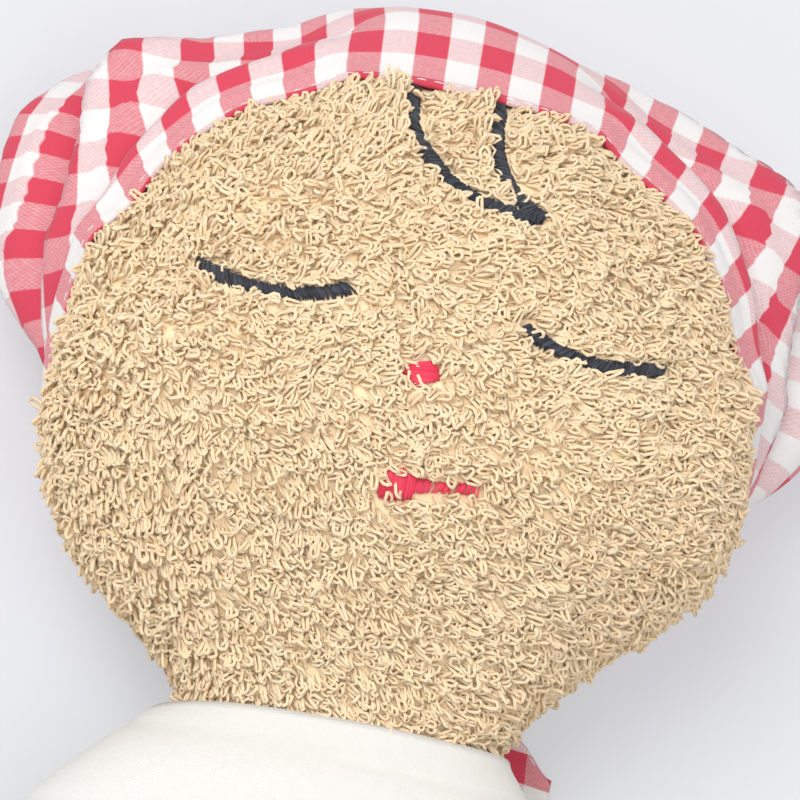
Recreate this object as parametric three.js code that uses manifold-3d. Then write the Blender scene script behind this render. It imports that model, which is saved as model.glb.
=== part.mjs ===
// Soft rag doll with a terry head, an embroidered sleeping face, a tied kerchief and a cotton top.
// It lies on its back, in mm: +X to the doll's left, +Y to the crown, +Z out of the face.
// While modelling, Y is measured from the neck axis; the last section moves the origin.
import * as THREE from 'three';
import { mergeVertices } from 'three/addons/utils/BufferGeometryUtils.js';
import Module from 'manifold-3d';

const wasm = await Module();
wasm.setup();

// Driving dimensions
const GAP = 0.3;              // clearance between pieces that touch
const FILL_GAP = 0.6;         // clearance of a stuffing inside its cover
const FLAT = 0.5;             // depth cut flat where a soft form lies on the floor
const TERRY = 2.2;            // thickness of the terry covers
const CLOTH = 1.5;            // thickness of the kerchief and the top
const HEAD_WIDTH = 115;
const HEAD_DEPTH = 70;
const CROWN_Y = 106;          // top of the head above the neck axis
const CHEEK_Y = 45;           // level where the head is widest
const EYE_Y = 60;             // level of the eye line
const NECK_WIDTH = 57;
const NECK_DEPTH = 37;
const NECK_Z = 28;            // height of the neck axis
const BODY_WIDTH = 87;
const BODY_DEPTH = 45;
const COLLAR_Y = -8;          // neckline of the top, clear of the nodding neck
const SHOULDER_Y = -20;       // level where the shoulders reach full width
const HEM_Y = -86;            // lower edge of the top, clear of the raised legs
const HIP_Y = -105;           // seam where the legs hinge
const ARM_WIDTH = 21;
const ARM_AXIS_Y = -38;       // shoulder hinge
const ARM_AXIS_Z = 22;
const ARM_TOP = -27;
const HAND_TIP = -121;
const LEG_WIDTH = 30;
const LEG_DEPTH = 27;
const LEG_X = 22;             // distance of a leg's middle from the doll's middle
const FOOT_TIP = -228.9;
const THREAD = 1.8;           // width of an embroidered line
const EDGE_SLOPE = 0.85;      // swelling of a stuffed form away from a sewn edge
const SECTION_POWER = 2.4;    // squareness of a stuffed section, 2 being an ellipse
const CROWN_POWER = 2.7;      // squareness of the crown, seen from the front

// Values that follow from them
const HEAD_Z = HEAD_DEPTH / 2 + GAP + CLOTH - FLAT;
const BODY_Z = BODY_DEPTH / 2 + GAP + CLOTH - FLAT;
const HIP_Z = LEG_DEPTH / 2 - FLAT;
const STUB_RADIUS = 9;        // stump of the body that fills the armhole
const STUB_X = BODY_WIDTH / 2 + CLOTH + 4 * GAP;
const ARM_ROOT_X = STUB_X + GAP;
const FAR = 300;              // reach of a cutting block

// Colours and finishes
const finish = (color, roughness) => new THREE.MeshStandardMaterial({ color, roughness, metalness: 0 });
const TERRY_FINISH = () => finish('#d9b482', 0.95);
const FILLING_FINISH = () => finish('#f2efe8', 0.95);
const GINGHAM_FINISH = () => finish('#e08c98', 0.85);
const COTTON_FINISH = () => finish('#f5f3ec', 0.9);
const DARK_THREAD = () => finish('#2d3038', 0.6);
const RED_THREAD = () => finish('#dd2f50', 0.5);

// Small helpers
const mix = (from, to, t) => from + (to - from) * t;
const smooth = THREE.MathUtils.smoothstep;
const range = (count) => Array.from({ length: count + 1 }, (unused, i) => i / count);

// Quarter of a superellipse: 1 at s = 0, falling round to 0 at s = 1.
function round(s, power) {
  return Math.pow(Math.max(0, 1 - Math.pow(Math.abs(s), power)), 1 / power);
}

// Closed body from a geometry of three.js.
function solidOf(geometry) {
  geometry.deleteAttribute('normal');
  geometry.deleteAttribute('uv');
  const merged = mergeVertices(geometry, 1e-5);
  return solidFrom(merged.attributes.position.array, merged.index.array);
}

function solidFrom(positions, triangles) {
  const mesh = new wasm.Mesh({
    numProp: 3,
    vertProperties: new Float32Array(positions),
    triVerts: new Uint32Array(triangles),
  });
  return new wasm.Manifold(mesh);
}

function block(low, high) {
  const size = high.map((value, i) => value - low[i]);
  const geometry = new THREE.BoxGeometry(...size);
  geometry.translate(...low.map((value, i) => value + size[i] / 2));
  return solidOf(geometry);
}

const below = (z) => block([-FAR, -FAR, -FAR], [FAR, FAR, z]);
const beyondY = (y) => block([-FAR, y, -FAR], [FAR, FAR, FAR]);
const beforeY = (y) => block([-FAR, -FAR, -FAR], [FAR, y, FAR]);

// Skin through superellipse sections along Y. sectionAt gives the half width a, the half depth c and
// the middle x, z of the section at a level; an end section that has shrunk to nothing is a tip.
function loft(levels, sectionAt, sides, shape = (point) => point) {
  const sections = levels.map((y) => ({ y, ...sectionAt(y) }));
  const middle = (s) => [s.x, s.y, s.z];
  const positions = [...middle(sections[0]), ...middle(sections[sections.length - 1])];
  const rings = sections.filter((s) => Math.min(s.a, s.c) > 0.02);
  const power = 2 / SECTION_POWER;
  for (const s of rings) {
    for (let k = 0; k < sides; k += 1) {
      const angle = (2 * Math.PI * k) / sides;
      const cos = Math.cos(angle);
      const sin = Math.sin(angle);
      const x = s.x + s.a * Math.sign(cos) * Math.pow(Math.abs(cos), power);
      const z = s.z + s.c * Math.sign(sin) * Math.pow(Math.abs(sin), power);
      positions.push(...shape([x, s.y, z]));
    }
  }
  const triangles = [];
  const at = (ring, k) => 2 + ring * sides + (k % sides);
  const last = rings.length - 1;
  for (let k = 0; k < sides; k += 1) {
    triangles.push(0, at(0, k), at(0, k + 1));
    for (let ring = 0; ring < last; ring += 1) {
      triangles.push(at(ring, k), at(ring + 1, k), at(ring + 1, k + 1));
      triangles.push(at(ring, k), at(ring + 1, k + 1), at(ring, k + 1));
    }
    triangles.push(1, at(last, k + 1), at(last, k));
  }
  return solidFrom(positions, triangles);
}

// Block under a line of seam points (y, z), as wide as the doll, that parts a back panel from a front one.
function underSeam(points, lift) {
  const outline = points.map(([y, z]) => new THREE.Vector2(y, z + lift));
  outline.push(new THREE.Vector2(points[points.length - 1][0], -FAR), new THREE.Vector2(points[0][0], -FAR));
  const shape = new THREE.Shape(outline);
  const geometry = new THREE.ExtrudeGeometry(shape, { depth: 2 * FAR, bevelEnabled: false });
  geometry.applyMatrix4(new THREE.Matrix4().set(0, 0, 1, -FAR, 1, 0, 0, 0, 0, 1, 0, 0, 0, 0, 0, 1));
  return solidOf(geometry);
}

// A skin parted along its side seam.
function panels(skin, seam) {
  return {
    front: skin.subtract(underSeam(seam, GAP / 2)),
    back: skin.intersect(underSeam(seam, -GAP / 2)),
  };
}

// The doll's pieces, collected as named meshes
const doll = new THREE.Group();
doll.name = 'rag_doll';

function addPiece(name, solid, material) {
  const { vertProperties, triVerts, numProp } = solid.getMesh();
  const positions = [];
  for (let i = 0; i < vertProperties.length; i += numProp) {
    positions.push(vertProperties[i], vertProperties[i + 1], vertProperties[i + 2]);
  }
  const geometry = new THREE.BufferGeometry();
  geometry.setAttribute('position', new THREE.Float32BufferAttribute(positions, 3));
  geometry.setIndex(Array.from(triVerts));
  geometry.computeVertexNormals();
  const mesh = new THREE.Mesh(geometry, material);
  mesh.name = name;
  doll.add(mesh);
}

// Head: jaw, cheeks and crown above the neck axis, each size less the inset
const headMiddle = (y) => mix(NECK_Z, HEAD_Z, smooth(y, 0, CHEEK_Y));

function headSection(y, inset) {
  const rise = CROWN_Y - inset - CHEEK_Y;
  const jaw = 1 - Math.min(1, Math.max(0, y / CHEEK_Y));
  const crown = Math.min(1, Math.max(0, (y - CHEEK_Y) / rise));
  const cheekWidth = HEAD_WIDTH / 2 - inset;
  const cheekDepth = HEAD_DEPTH / 2 - inset;
  return {
    a: mix(cheekWidth, NECK_WIDTH / 2 - inset, Math.pow(jaw, 2.5)) * round(crown, CROWN_POWER),
    c: mix(cheekDepth, NECK_DEPTH / 2 - inset, Math.pow(jaw, 1.4)) * round(crown, 2.2),
    x: 0,
    z: headMiddle(y),
  };
}

function headLevels(inset, jawSteps, crownSteps) {
  const rise = CROWN_Y - inset - CHEEK_Y;
  const jaw = range(jawSteps).map((t) => CHEEK_Y * Math.pow(t, 1.3));
  const crown = range(crownSteps).slice(1).map((t) => CHEEK_Y + rise * Math.sin((Math.PI / 2) * t));
  return [...jaw, ...crown];
}

// The neck ends in a barrel about the nod axis, turned from the neck's own section.
function neckBarrel(growth, steps) {
  const a = NECK_WIDTH / 2 + growth;
  const r = NECK_DEPTH / 2 + growth;
  const profile = range(10).map((t) => {
    const s = -Math.cos(Math.PI * t);
    return new THREE.Vector2(r * round(s, SECTION_POWER), a * s);
  });
  const geometry = new THREE.LatheGeometry(profile, steps);
  geometry.rotateZ(-Math.PI / 2);
  geometry.translate(0, 0, NECK_Z);
  return solidOf(geometry);
}

function headForm(inset, jawSteps, crownSteps, sides) {
  const skull = loft(headLevels(inset, jawSteps, crownSteps), (y) => headSection(y, inset), sides);
  return skull.add(neckBarrel(-inset, sides));
}

const headSeam = [-FAR, 0, ...headLevels(0, 6, 6), FAR].map((y) => [y, headMiddle(Math.min(CROWN_Y, y))]);
const HEAD_SIDES = 24;

function addHead() {
  const cover = headForm(0, 8, 8, HEAD_SIDES).subtract(headForm(TERRY, 5, 5, 14));
  const { front, back } = panels(cover, headSeam);
  addPiece('head_front_panel', front, TERRY_FINISH());
  addPiece('head_back_panel', back, TERRY_FINISH());
  addPiece('head_stuffing', headForm(TERRY + FILL_GAP, 5, 5, 14), FILLING_FINISH());
}

// Height of the face's surface at a place on it
function faceZ(x, y) {
  const s = headSection(y, 0);
  return s.z + s.c * round(x / s.a, SECTION_POWER);
}

// Embroidered face: lines of thread laid on the terry, and two satin-stitched patches
function threadLine(points, steps) {
  const lift = GAP + THREAD / 2;
  const places = points.map(([x, up]) => new THREE.Vector3(x, EYE_Y + up, faceZ(x, EYE_Y + up) + lift));
  const section = new THREE.Shape();
  section.absarc(0, 0, THREAD / 2, 0, 2 * Math.PI);
  const geometry = new THREE.ExtrudeGeometry(section, {
    extrudePath: new THREE.CatmullRomCurve3(places),
    steps,
    curveSegments: 3,
  });
  return solidOf(geometry);
}

const EYE_INNER = 13.5;
const EYE_OUTER = 37.2;
const EYE_SAG = 3;
const NOSE_WIDTH = 5.9;
const NOSE_HEIGHT = 3.8;
const NOSE_DROP = 9.5;        // nose under the eye line
const MOUTH_DROP = 26.5;      // mouth under the eye line
const MOUTH_TILT = THREE.MathUtils.degToRad(9);
const LOCK_WIDTH = 23.7;      // lock of hair, from its long strand to its tip
const LOCK_HEIGHT = 18;
const LOCK_TIP = { x: 14, up: 20 };

function closedEye(side) {
  const points = range(6).map((t) => {
    const sag = EYE_SAG * 4 * t * (1 - t);
    return [side * mix(EYE_INNER, EYE_OUTER, t), EYE_SAG / 2 - sag];
  });
  return threadLine(points, 12);
}

function noseOval() {
  const geometry = new THREE.SphereGeometry(1, 12, 8);
  const rise = THREAD / 2;
  geometry.scale(NOSE_WIDTH / 2, NOSE_HEIGHT / 2, rise);
  const y = EYE_Y - NOSE_DROP;
  geometry.translate(0, y, faceZ(0, y) + GAP + rise);
  return solidOf(geometry);
}

// Full lobe under the nose, tapering to a small forked tail on the doll's left
function mouthPatch() {
  const shape = new THREE.Shape();
  shape.moveTo(-3, -1.4);
  shape.bezierCurveTo(-3, 3, 2.4, 3, 3, 1);
  shape.lineTo(9.4, 0.5);
  shape.lineTo(13, 1.7);
  shape.lineTo(11.2, 0);
  shape.lineTo(12.6, -1.5);
  shape.lineTo(9.4, -0.7);
  shape.lineTo(3, -1.4);
  shape.bezierCurveTo(2, -3, -2.4, -3, -3, -1.4);
  const settings = { depth: THREAD / 2, bevelEnabled: false, curveSegments: 5 };
  const geometry = new THREE.ExtrudeGeometry(shape, settings);
  geometry.rotateZ(MOUTH_TILT);
  const y = EYE_Y - MOUTH_DROP;
  const slope = (faceZ(0, y + THREAD) - faceZ(0, y - THREAD)) / (2 * THREAD);
  geometry.rotateX(Math.atan(slope));
  geometry.translate(0, y, faceZ(0, y) + GAP);
  return solidOf(geometry);
}

// Two strands that part under the kerchief and meet in a tip, in shares of the lock's width and height
function hairLock() {
  const place = ([across, up]) => [LOCK_TIP.x - across * LOCK_WIDTH, LOCK_TIP.up + up * LOCK_HEIGHT];
  const long = [[1, 1], [0.98, 0.63], [0.81, 0.33], [0.57, 0.07], [0.22, -0.02], [0, 0]].map(place);
  const short = [[0.41, 1], [0.4, 0.67], [0.32, 0.35], [0.17, 0.11], [0, 0]].map(place);
  return threadLine(long, 14).add(threadLine(short, 10));
}

function addFace() {
  addPiece('eye_left', closedEye(1), DARK_THREAD());
  addPiece('eye_right', closedEye(-1), DARK_THREAD());
  addPiece('nose', noseOval(), RED_THREAD());
  addPiece('mouth', mouthPatch(), RED_THREAD());
  addPiece('hair_lock', hairLock(), DARK_THREAD());
}

// Kerchief: cloth on rays from the middle of its front edge. A band lies close along the edge, two
// folds puff out behind it and run together beside the neck, and the back lies flat on the floor.
const NAPE_Y = 13;
const EDGE_MIDDLE = new THREE.Vector3(0, EYE_Y + 2, HEAD_Z + 4.6);
const EDGE_TILT = THREE.MathUtils.degToRad(18);   // rise of the front edge from ear to forehead
const EDGE_FALL = 17;         // degrees that the edge falls back towards the nape
const CROWN_PUFF = 11;        // swell of the cloth over the crown
const BAND_PUFF = 6;          // flare of the band along the front edge
const FRONT_PUFF = 22;        // swell of the first fold at the side
const REAR_PUFF = 29;         // swell of the second fold at the side
const BAND_ANGLE = 12.5;      // degrees of cloth between the front edge and the first fold
const CUP_GAP = 0.5;          // clearance of the kerchief over the rounded head
const KERCHIEF_SIDES = 48;
const BACK_ROWS = 10;

// Profile of the folds behind the edge, in shares of the band's angle and of the swell of each
const FOLD_PROFILE = [
  { at: 0, band: 0, front: 0, rear: 0 },
  { at: 0.35, band: 0.4, front: 0, rear: 0 },
  { at: 0.65, band: 0.95, front: 0, rear: 0 },
  { at: 0.85, band: 1, front: 0, rear: 0 },
  { at: 1.1, band: 0.45, front: 0, rear: 0 },
  { at: 1.35, band: 0, front: 0.6, rear: 0 },
  { at: 1.64, band: 0, front: 1, rear: 0 },
  { at: 2, band: 0, front: 0.5, rear: 0 },
  { at: 2.35, band: 0, front: 0, rear: 0.75 },
  { at: 2.75, band: 0, front: 0, rear: 1 },
  { at: 3.2, band: 0, front: 0, rear: 0.95 },
  { at: 3.7, band: 0, front: 0, rear: 0.8 },
];

// Swell of the cloth over the head: turn is the angle from the crown, behind the angle past the edge
function clothSwell(turn, behind, { band, front, rear }) {
  const frontFold = mix(CROWN_PUFF, FRONT_PUFF, smooth(turn, 20, 59)) * (1 - smooth(turn, 59, 108));
  const rearFold = mix(CROWN_PUFF, REAR_PUFF, smooth(turn, 30, 75)) * (1 - smooth(turn, 82, 112));
  const bandLift = BAND_PUFF * (1 - 0.6 * smooth(turn, 50, 100));
  const folded = band * bandLift + front * frontFold + rear * rearFold;
  const plain = CROWN_PUFF * smooth(behind, 0, 21) * (1 - smooth(turn, 100, 130));
  const atSide = smooth(turn, 14, 40) * (1 - smooth(turn, 112, 130));
  return mix(plain, folded, atSide) * (1 - smooth(behind, 46, 82));
}

// Distance along a ray from the edge's middle to the head's surface, grown by the clearance
function headReach(direction) {
  const inside = (distance) => {
    const { x, y, z } = direction.clone().multiplyScalar(distance).add(EDGE_MIDDLE);
    if (y > CROWN_Y + CUP_GAP) return false;
    const s = headSection(Math.max(0, y), -CUP_GAP);
    return Math.pow(Math.abs(x) / s.a, SECTION_POWER) + Math.pow(Math.abs(z - s.z) / s.c, SECTION_POWER) < 1;
  };
  let near = 0;
  let far = HEAD_WIDTH;
  for (let step = 0; step < 30; step += 1) {
    const half = (near + far) / 2;
    if (inside(half)) near = half;
    else far = half;
  }
  return near;
}

// Inner and outer place of the cloth on one ray, kept above the floor and cut off short of the neck
function clothPlaces(turn, behind, profile) {
  const down = THREE.MathUtils.degToRad(90 + behind);
  const around = THREE.MathUtils.degToRad(turn);
  const direction = new THREE.Vector3(
    Math.sin(down) * Math.sin(around),
    Math.sin(down) * Math.cos(around),
    Math.cos(down),
  ).applyAxisAngle(new THREE.Vector3(1, 0, 0), EDGE_TILT);
  const limit = (axis, value) => (direction[axis] < 0 ? (value - EDGE_MIDDLE[axis]) / direction[axis] : FAR);
  const edge = EDGE_FALL * smooth(Math.abs(turn), 104, 160);
  const reach = headReach(direction) + clothSwell(Math.abs(turn), behind - edge, profile);
  const inner = Math.min(reach, limit('z', CLOTH - FLAT), limit('y', NAPE_Y - CLOTH));
  const outer = Math.min(reach + CLOTH, limit('z', 0), limit('y', NAPE_Y - 2 * CLOTH));
  return [outer, inner].map((distance) => direction.clone().multiplyScalar(distance).add(EDGE_MIDDLE));
}

function kerchiefCup() {
  const back = FOLD_PROFILE[FOLD_PROFILE.length - 1];
  const rows = FOLD_PROFILE.length + BACK_ROWS - 1;
  const layer = rows * KERCHIEF_SIDES + 1;
  const places = new Array(2 * layer);
  const at = (lining, row, k) => lining * layer + row * KERCHIEF_SIDES + (k % KERCHIEF_SIDES);
  const pole = (lining) => lining * layer + layer - 1;
  for (let k = 0; k < KERCHIEF_SIDES; k += 1) {
    const turn = 360 * (k / KERCHIEF_SIDES) - 180;
    const edge = EDGE_FALL * smooth(Math.abs(turn), 104, 160);
    const band = BAND_ANGLE * mix(1.05, 0.48, smooth(Math.abs(turn), 30, 102));
    const last = edge + band * back.at;
    for (let row = 0; row < rows; row += 1) {
      const profile = FOLD_PROFILE[row] ?? back;
      const past = Math.max(0, row + 1 - FOLD_PROFILE.length) / BACK_ROWS;
      const behind = past > 0 ? mix(last, 90, past) : edge + band * profile.at;
      const [outer, inner] = clothPlaces(turn, behind, profile);
      places[at(0, row, k)] = outer;
      places[at(1, row, k)] = inner;
    }
  }
  const [outer, inner] = clothPlaces(0, 90, back);
  places[pole(0)] = outer;
  places[pole(1)] = inner;
  const triangles = [];
  const quad = (a, b, c, d) => triangles.push(a, b, c, a, c, d);
  for (let k = 0; k < KERCHIEF_SIDES; k += 1) {
    for (let row = 0; row < rows - 1; row += 1) {
      quad(at(0, row, k), at(0, row, k + 1), at(0, row + 1, k + 1), at(0, row + 1, k));
      quad(at(1, row, k), at(1, row + 1, k), at(1, row + 1, k + 1), at(1, row, k + 1));
    }
    triangles.push(at(0, rows - 1, k), at(0, rows - 1, k + 1), pole(0));
    triangles.push(at(1, rows - 1, k + 1), at(1, rows - 1, k), pole(1));
    quad(at(0, 0, k), at(1, 0, k), at(1, 0, k + 1), at(0, 0, k + 1));
  }
  return solidFrom(places.flatMap((place) => place.toArray()), triangles);
}

function addKerchief() {
  addPiece('kerchief', kerchiefCup().subtract(beforeY(NAPE_Y)), GINGHAM_FINISH());
}

// The kerchief's two ends, knotted in the hollow behind the neck
const KNOT_Y = 3;
const KNOT_WIDTH = 16;
const KNOT_BREADTH = 9.6;
const napeZ = headSection(KNOT_Y, 0).z - headSection(KNOT_Y, 0).c;
const KNOT_Z = napeZ / 2;

function addKnot() {
  const profile = range(10).map((t) => {
    const s = -Math.cos(Math.PI * t);
    const waist = 1 - 0.2 * Math.pow(Math.cos(1.5 * Math.PI * s), 2);
    return new THREE.Vector2(waist * round(s, 2.6), (KNOT_WIDTH / 2) * s);
  });
  const geometry = new THREE.LatheGeometry(profile, 14);
  geometry.scale(KNOT_BREADTH / 2, 1, napeZ / 2 - GAP);
  geometry.rotateZ(-Math.PI / 2);
  geometry.translate(0, KNOT_Y, KNOT_Z);
  addPiece('kerchief_knot', solidOf(geometry), GINGHAM_FINISH());
}

// A strip of cloth with a crease down its middle, closed top and bottom
function ribbon(steps, placeAt, thickness) {
  const rows = range(steps);
  const columns = range(4);
  const width = columns.length;
  const layer = rows.length * width;
  const positions = [];
  for (const lift of [0, thickness]) {
    for (const u of rows) {
      for (const v of columns) {
        const [x, y, z] = placeAt(u, v);
        positions.push(x, y, z + lift);
      }
    }
  }
  const triangles = [];
  const quad = (a, b, c, d) => triangles.push(a, b, c, a, c, d);
  const at = (i, j, top) => top * layer + i * width + j;
  const lastRow = rows.length - 1;
  const lastColumn = width - 1;
  for (let i = 0; i < lastRow; i += 1) {
    for (let j = 0; j < lastColumn; j += 1) {
      quad(at(i, j, 1), at(i + 1, j, 1), at(i + 1, j + 1, 1), at(i, j + 1, 1));
      quad(at(i, j, 0), at(i, j + 1, 0), at(i + 1, j + 1, 0), at(i + 1, j, 0));
    }
    quad(at(i, 0, 0), at(i + 1, 0, 0), at(i + 1, 0, 1), at(i, 0, 1));
    quad(at(i, lastColumn, 0), at(i, lastColumn, 1), at(i + 1, lastColumn, 1), at(i + 1, lastColumn, 0));
  }
  for (let j = 0; j < lastColumn; j += 1) {
    quad(at(0, j, 0), at(0, j, 1), at(0, j + 1, 1), at(0, j + 1, 0));
    quad(at(lastRow, j, 0), at(lastRow, j + 1, 0), at(lastRow, j + 1, 1), at(lastRow, j, 1));
  }
  return solidFrom(positions, triangles);
}

const TAIL_LENGTH = 31;
const TAIL_NARROW = 7;
const TAIL_WIDE = 17;
const TAIL_CREASE = 1.6;
const TAIL_LEFT_ANGLE = -6;   // degrees from level, towards the feet
const TAIL_RIGHT_ANGLE = 25;  // tucked up under the jaw

function kerchiefTail(side, degrees) {
  const angle = THREE.MathUtils.degToRad(degrees);
  const start = KNOT_WIDTH / 2 + GAP;
  const tail = ribbon(8, (u, v) => {
    const across = (v - 0.5) * mix(TAIL_NARROW, TAIL_WIDE, u) * (1 - 0.75 * smooth(u, 0.75, 1));
    const along = u * TAIL_LENGTH;
    const x = start + along * Math.cos(angle);
    const y = KNOT_Y + along * Math.sin(angle) + across;
    const crease = TAIL_CREASE * (1 - Math.abs(2 * v - 1));
    return [x, y, mix(KNOT_Z - CLOTH / 2, 3 * GAP, smooth(u, 0, 0.6)) + crease];
  }, CLOTH);
  return side > 0 ? tail : tail.mirror([1, 0, 0]);
}

function addTails() {
  const overKerchief = beyondY(NAPE_Y - GAP);
  const left = kerchiefTail(1, TAIL_LEFT_ANGLE).subtract(overKerchief);
  const right = kerchiefTail(-1, TAIL_RIGHT_ANGLE).subtract(overKerchief);
  addPiece('kerchief_tail_left', left, GINGHAM_FINISH());
  addPiece('kerchief_tail_right', right, GINGHAM_FINISH());
}

// Body: shoulders, a full middle and a taper to the sewn hip edge
const swell = (half, d) => half * Math.tanh((EDGE_SLOPE * d) / half);

function bodySection(y, inset) {
  const d = y - HIP_Y - GAP / 2;
  const drop = Math.min(1, Math.max(0, (COLLAR_Y - y) / (COLLAR_Y - SHOULDER_Y)));
  const shoulder = mix(NECK_WIDTH / 2 + 3, BODY_WIDTH / 2, 1 - Math.pow(1 - drop, 2));
  const hips = mix(0.88, 1, smooth(d, 0, 45));
  const deep = Math.min(swell(BODY_DEPTH / 2, d), mix(NECK_DEPTH / 2 + 2.4, BODY_DEPTH / 2, drop)) + 0.1;
  const lying = Math.max(HIP_Z, deep + GAP + CLOTH - FLAT);
  return {
    a: shoulder * hips - inset,
    c: deep - inset,
    x: 0,
    z: mix(lying, NECK_Z, smooth(y, ARM_AXIS_Y, COLLAR_Y)),
  };
}

function bodyLevels(inset) {
  const sewn = HIP_Y + GAP / 2 + Math.max(0, inset) / EDGE_SLOPE;
  const hips = range(8).map((t) => mix(sewn, SHOULDER_Y, Math.pow(t, 1.25)));
  const shoulders = range(4).slice(1).map((t) => mix(SHOULDER_Y, COLLAR_Y - GAP, t));
  return [...hips, ...shoulders];
}

function bodyForm(inset, sides, levels = bodyLevels(inset)) {
  return loft(levels, (y) => bodySection(y, inset), sides);
}

const bodySeam = [-FAR, ...bodyLevels(0), FAR].map((y) => [y, bodySection(Math.max(y, HIP_Y), 0).z]);
const BODY_SIDES = 20;

// Stump of the body that reaches through an armhole to the arm
function stub(side, growth, from) {
  const geometry = new THREE.CylinderGeometry(STUB_RADIUS + growth, STUB_RADIUS + growth, STUB_X - from, 20);
  geometry.rotateZ(Math.PI / 2);
  geometry.translate(side * (from + STUB_X) / 2, ARM_AXIS_Y, ARM_AXIS_Z);
  return solidOf(geometry);
}

function addBody() {
  const neckSocket = neckBarrel(GAP, HEAD_SIDES);
  const cover = bodyForm(0, BODY_SIDES)
    .add(stub(1, 0, BODY_WIDTH / 4))
    .add(stub(-1, 0, BODY_WIDTH / 4))
    .subtract(bodyForm(TERRY, 12))
    .subtract(neckSocket);
  const { front, back } = panels(cover, bodySeam);
  addPiece('torso_front_panel', front, TERRY_FINISH());
  addPiece('torso_back_panel', back, TERRY_FINISH());
  const fill = bodyForm(TERRY + FILL_GAP, 12, bodyLevels(TERRY).slice(1));
  addPiece('torso_stuffing', fill.subtract(neckSocket), FILLING_FINISH());
}

// Cotton top: the body's form grown by the cloth, open at the neck, the armholes and the hem, with
// soft folds that deepen towards the hem
const TOP_FOLDS = 11;
const TOP_FOLD_DEPTH = 1.6;

function folded([x, y, z]) {
  const angle = Math.atan2(z - BODY_Z, x);
  const loose = 1 - smooth(y, HEM_Y, ARM_AXIS_Y);
  const depth = TOP_FOLD_DEPTH * loose * (0.5 + 0.5 * Math.cos(TOP_FOLDS * angle));
  const front = smooth(z, BODY_Z - 6, BODY_Z + 6);
  return [x, y, z + depth * front];
}

function topForm(growth) {
  const levels = [...bodyLevels(0), COLLAR_Y + 2];
  const extra = (y) => bodySection(y, -growth);
  return loft(levels, extra, BODY_SIDES, folded);
}

function addTop() {
  const cloth = topForm(GAP + CLOTH)
    .subtract(topForm(GAP))
    .subtract(neckBarrel(GAP, HEAD_SIDES))
    .subtract(stub(1, GAP, 0))
    .subtract(stub(-1, GAP, 0))
    .subtract(beyondY(COLLAR_Y))
    .subtract(beforeY(HEM_Y))
    .subtract(below(0));
  const { front, back } = panels(cloth, bodySeam);
  addPiece('top_front', front, COTTON_FINISH());
  addPiece('top_back', back, COTTON_FINISH());
}

// Arms: hang from a flat root face at the shoulder and come to lie on the floor
function armSection(y, inset, side) {
  const half = (ARM_TOP - HAND_TIP) / 2 - inset;
  const along = (ARM_TOP + HAND_TIP) / 2 - y;
  const end = round(Math.min(1, Math.abs(along) / half), 4);
  const wrist = 1 - 0.14 * Math.max(0, Math.cos(((y + 88) / 40) * Math.PI));
  const full = ARM_WIDTH / 2;
  const hang = smooth(ARM_AXIS_Y - y, 0, 36);
  return {
    a: (full * wrist - inset) * end,
    c: (full * wrist - inset) * end,
    x: side * (ARM_ROOT_X + full - 1 + 4 * hang),
    z: mix(ARM_AXIS_Z, full - FLAT, hang),
  };
}

function limbLevels(top, tip, steps) {
  return range(steps).map((t) => mix(tip, top, (1 - Math.cos(Math.PI * t)) / 2));
}

function armForm(inset, side, steps, sides) {
  const levels = limbLevels(ARM_TOP - inset, HAND_TIP + inset, steps);
  return loft(levels, (y) => armSection(y, inset, side), sides);
}

function besideRoot(side) {
  const edge = ARM_ROOT_X;
  return side > 0
    ? block([-FAR, -FAR, -FAR], [edge, FAR, FAR])
    : block([-edge, -FAR, -FAR], [FAR, FAR, FAR]);
}

function addArm(label, side) {
  const seam = [-FAR, ...limbLevels(ARM_TOP, HAND_TIP, 10), FAR].map((y) => [y, armSection(y, 0, side).z]);
  const cover = armForm(0, side, 12, 12)
    .subtract(armForm(TERRY, side, 8, 8))
    .subtract(besideRoot(side))
    .subtract(below(0));
  const { front, back } = panels(cover, seam);
  addPiece(`arm_${label}_front_panel`, front, TERRY_FINISH());
  addPiece(`arm_${label}_back_panel`, back, TERRY_FINISH());
  addPiece(`arm_${label}_stuffing`, armForm(TERRY + FILL_GAP, side, 8, 8), FILLING_FINISH());
}

// Legs: taper up to the sewn hip edge, narrow at the ankle and fill out to the foot
function legSection(y, inset, side) {
  const d = HIP_Y - GAP / 2 - y;
  const length = HIP_Y - FOOT_TIP;
  const foot = smooth(d, 0.62 * length, 0.85 * length);
  const ankle = 1 - 0.1 * Math.sin(Math.PI * smooth(d, 0.3 * length, 0.9 * length));
  const end = round(Math.max(0, (d - length / 2) / (length / 2 - inset)), 4);
  const deep = (LEG_DEPTH / 2) * (1 + 0.1 * foot);
  return {
    a: (LEG_WIDTH / 2) * ankle * end - inset * end,
    c: Math.min(swell(deep, d) + 0.1 - inset, (deep * ankle - inset) * end),
    x: side * LEG_X,
    z: deep * mix(1, ankle, smooth(d, 15, 40)) - FLAT,
  };
}

function legForm(inset, side, steps, sides) {
  const top = HIP_Y - GAP / 2 - (inset * 1.15) / EDGE_SLOPE;
  return loft(limbLevels(top, FOOT_TIP + inset, steps), (y) => legSection(y, inset, side), sides);
}

function addLeg(label, side) {
  const seam = [-FAR, ...limbLevels(HIP_Y, FOOT_TIP, 10), FAR].map((y) => {
    return [y, legSection(Math.min(HIP_Y, Math.max(FOOT_TIP, y)), 0, side).z];
  });
  const cover = legForm(0, side, 12, 12)
    .subtract(legForm(TERRY, side, 8, 8))
    .subtract(below(0));
  const { front, back } = panels(cover, seam);
  addPiece(`leg_${label}_front_panel`, front, TERRY_FINISH());
  addPiece(`leg_${label}_back_panel`, back, TERRY_FINISH());
  addPiece(`leg_${label}_stuffing`, legForm(TERRY + FILL_GAP, side, 8, 8), FILLING_FINISH());
}

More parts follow.
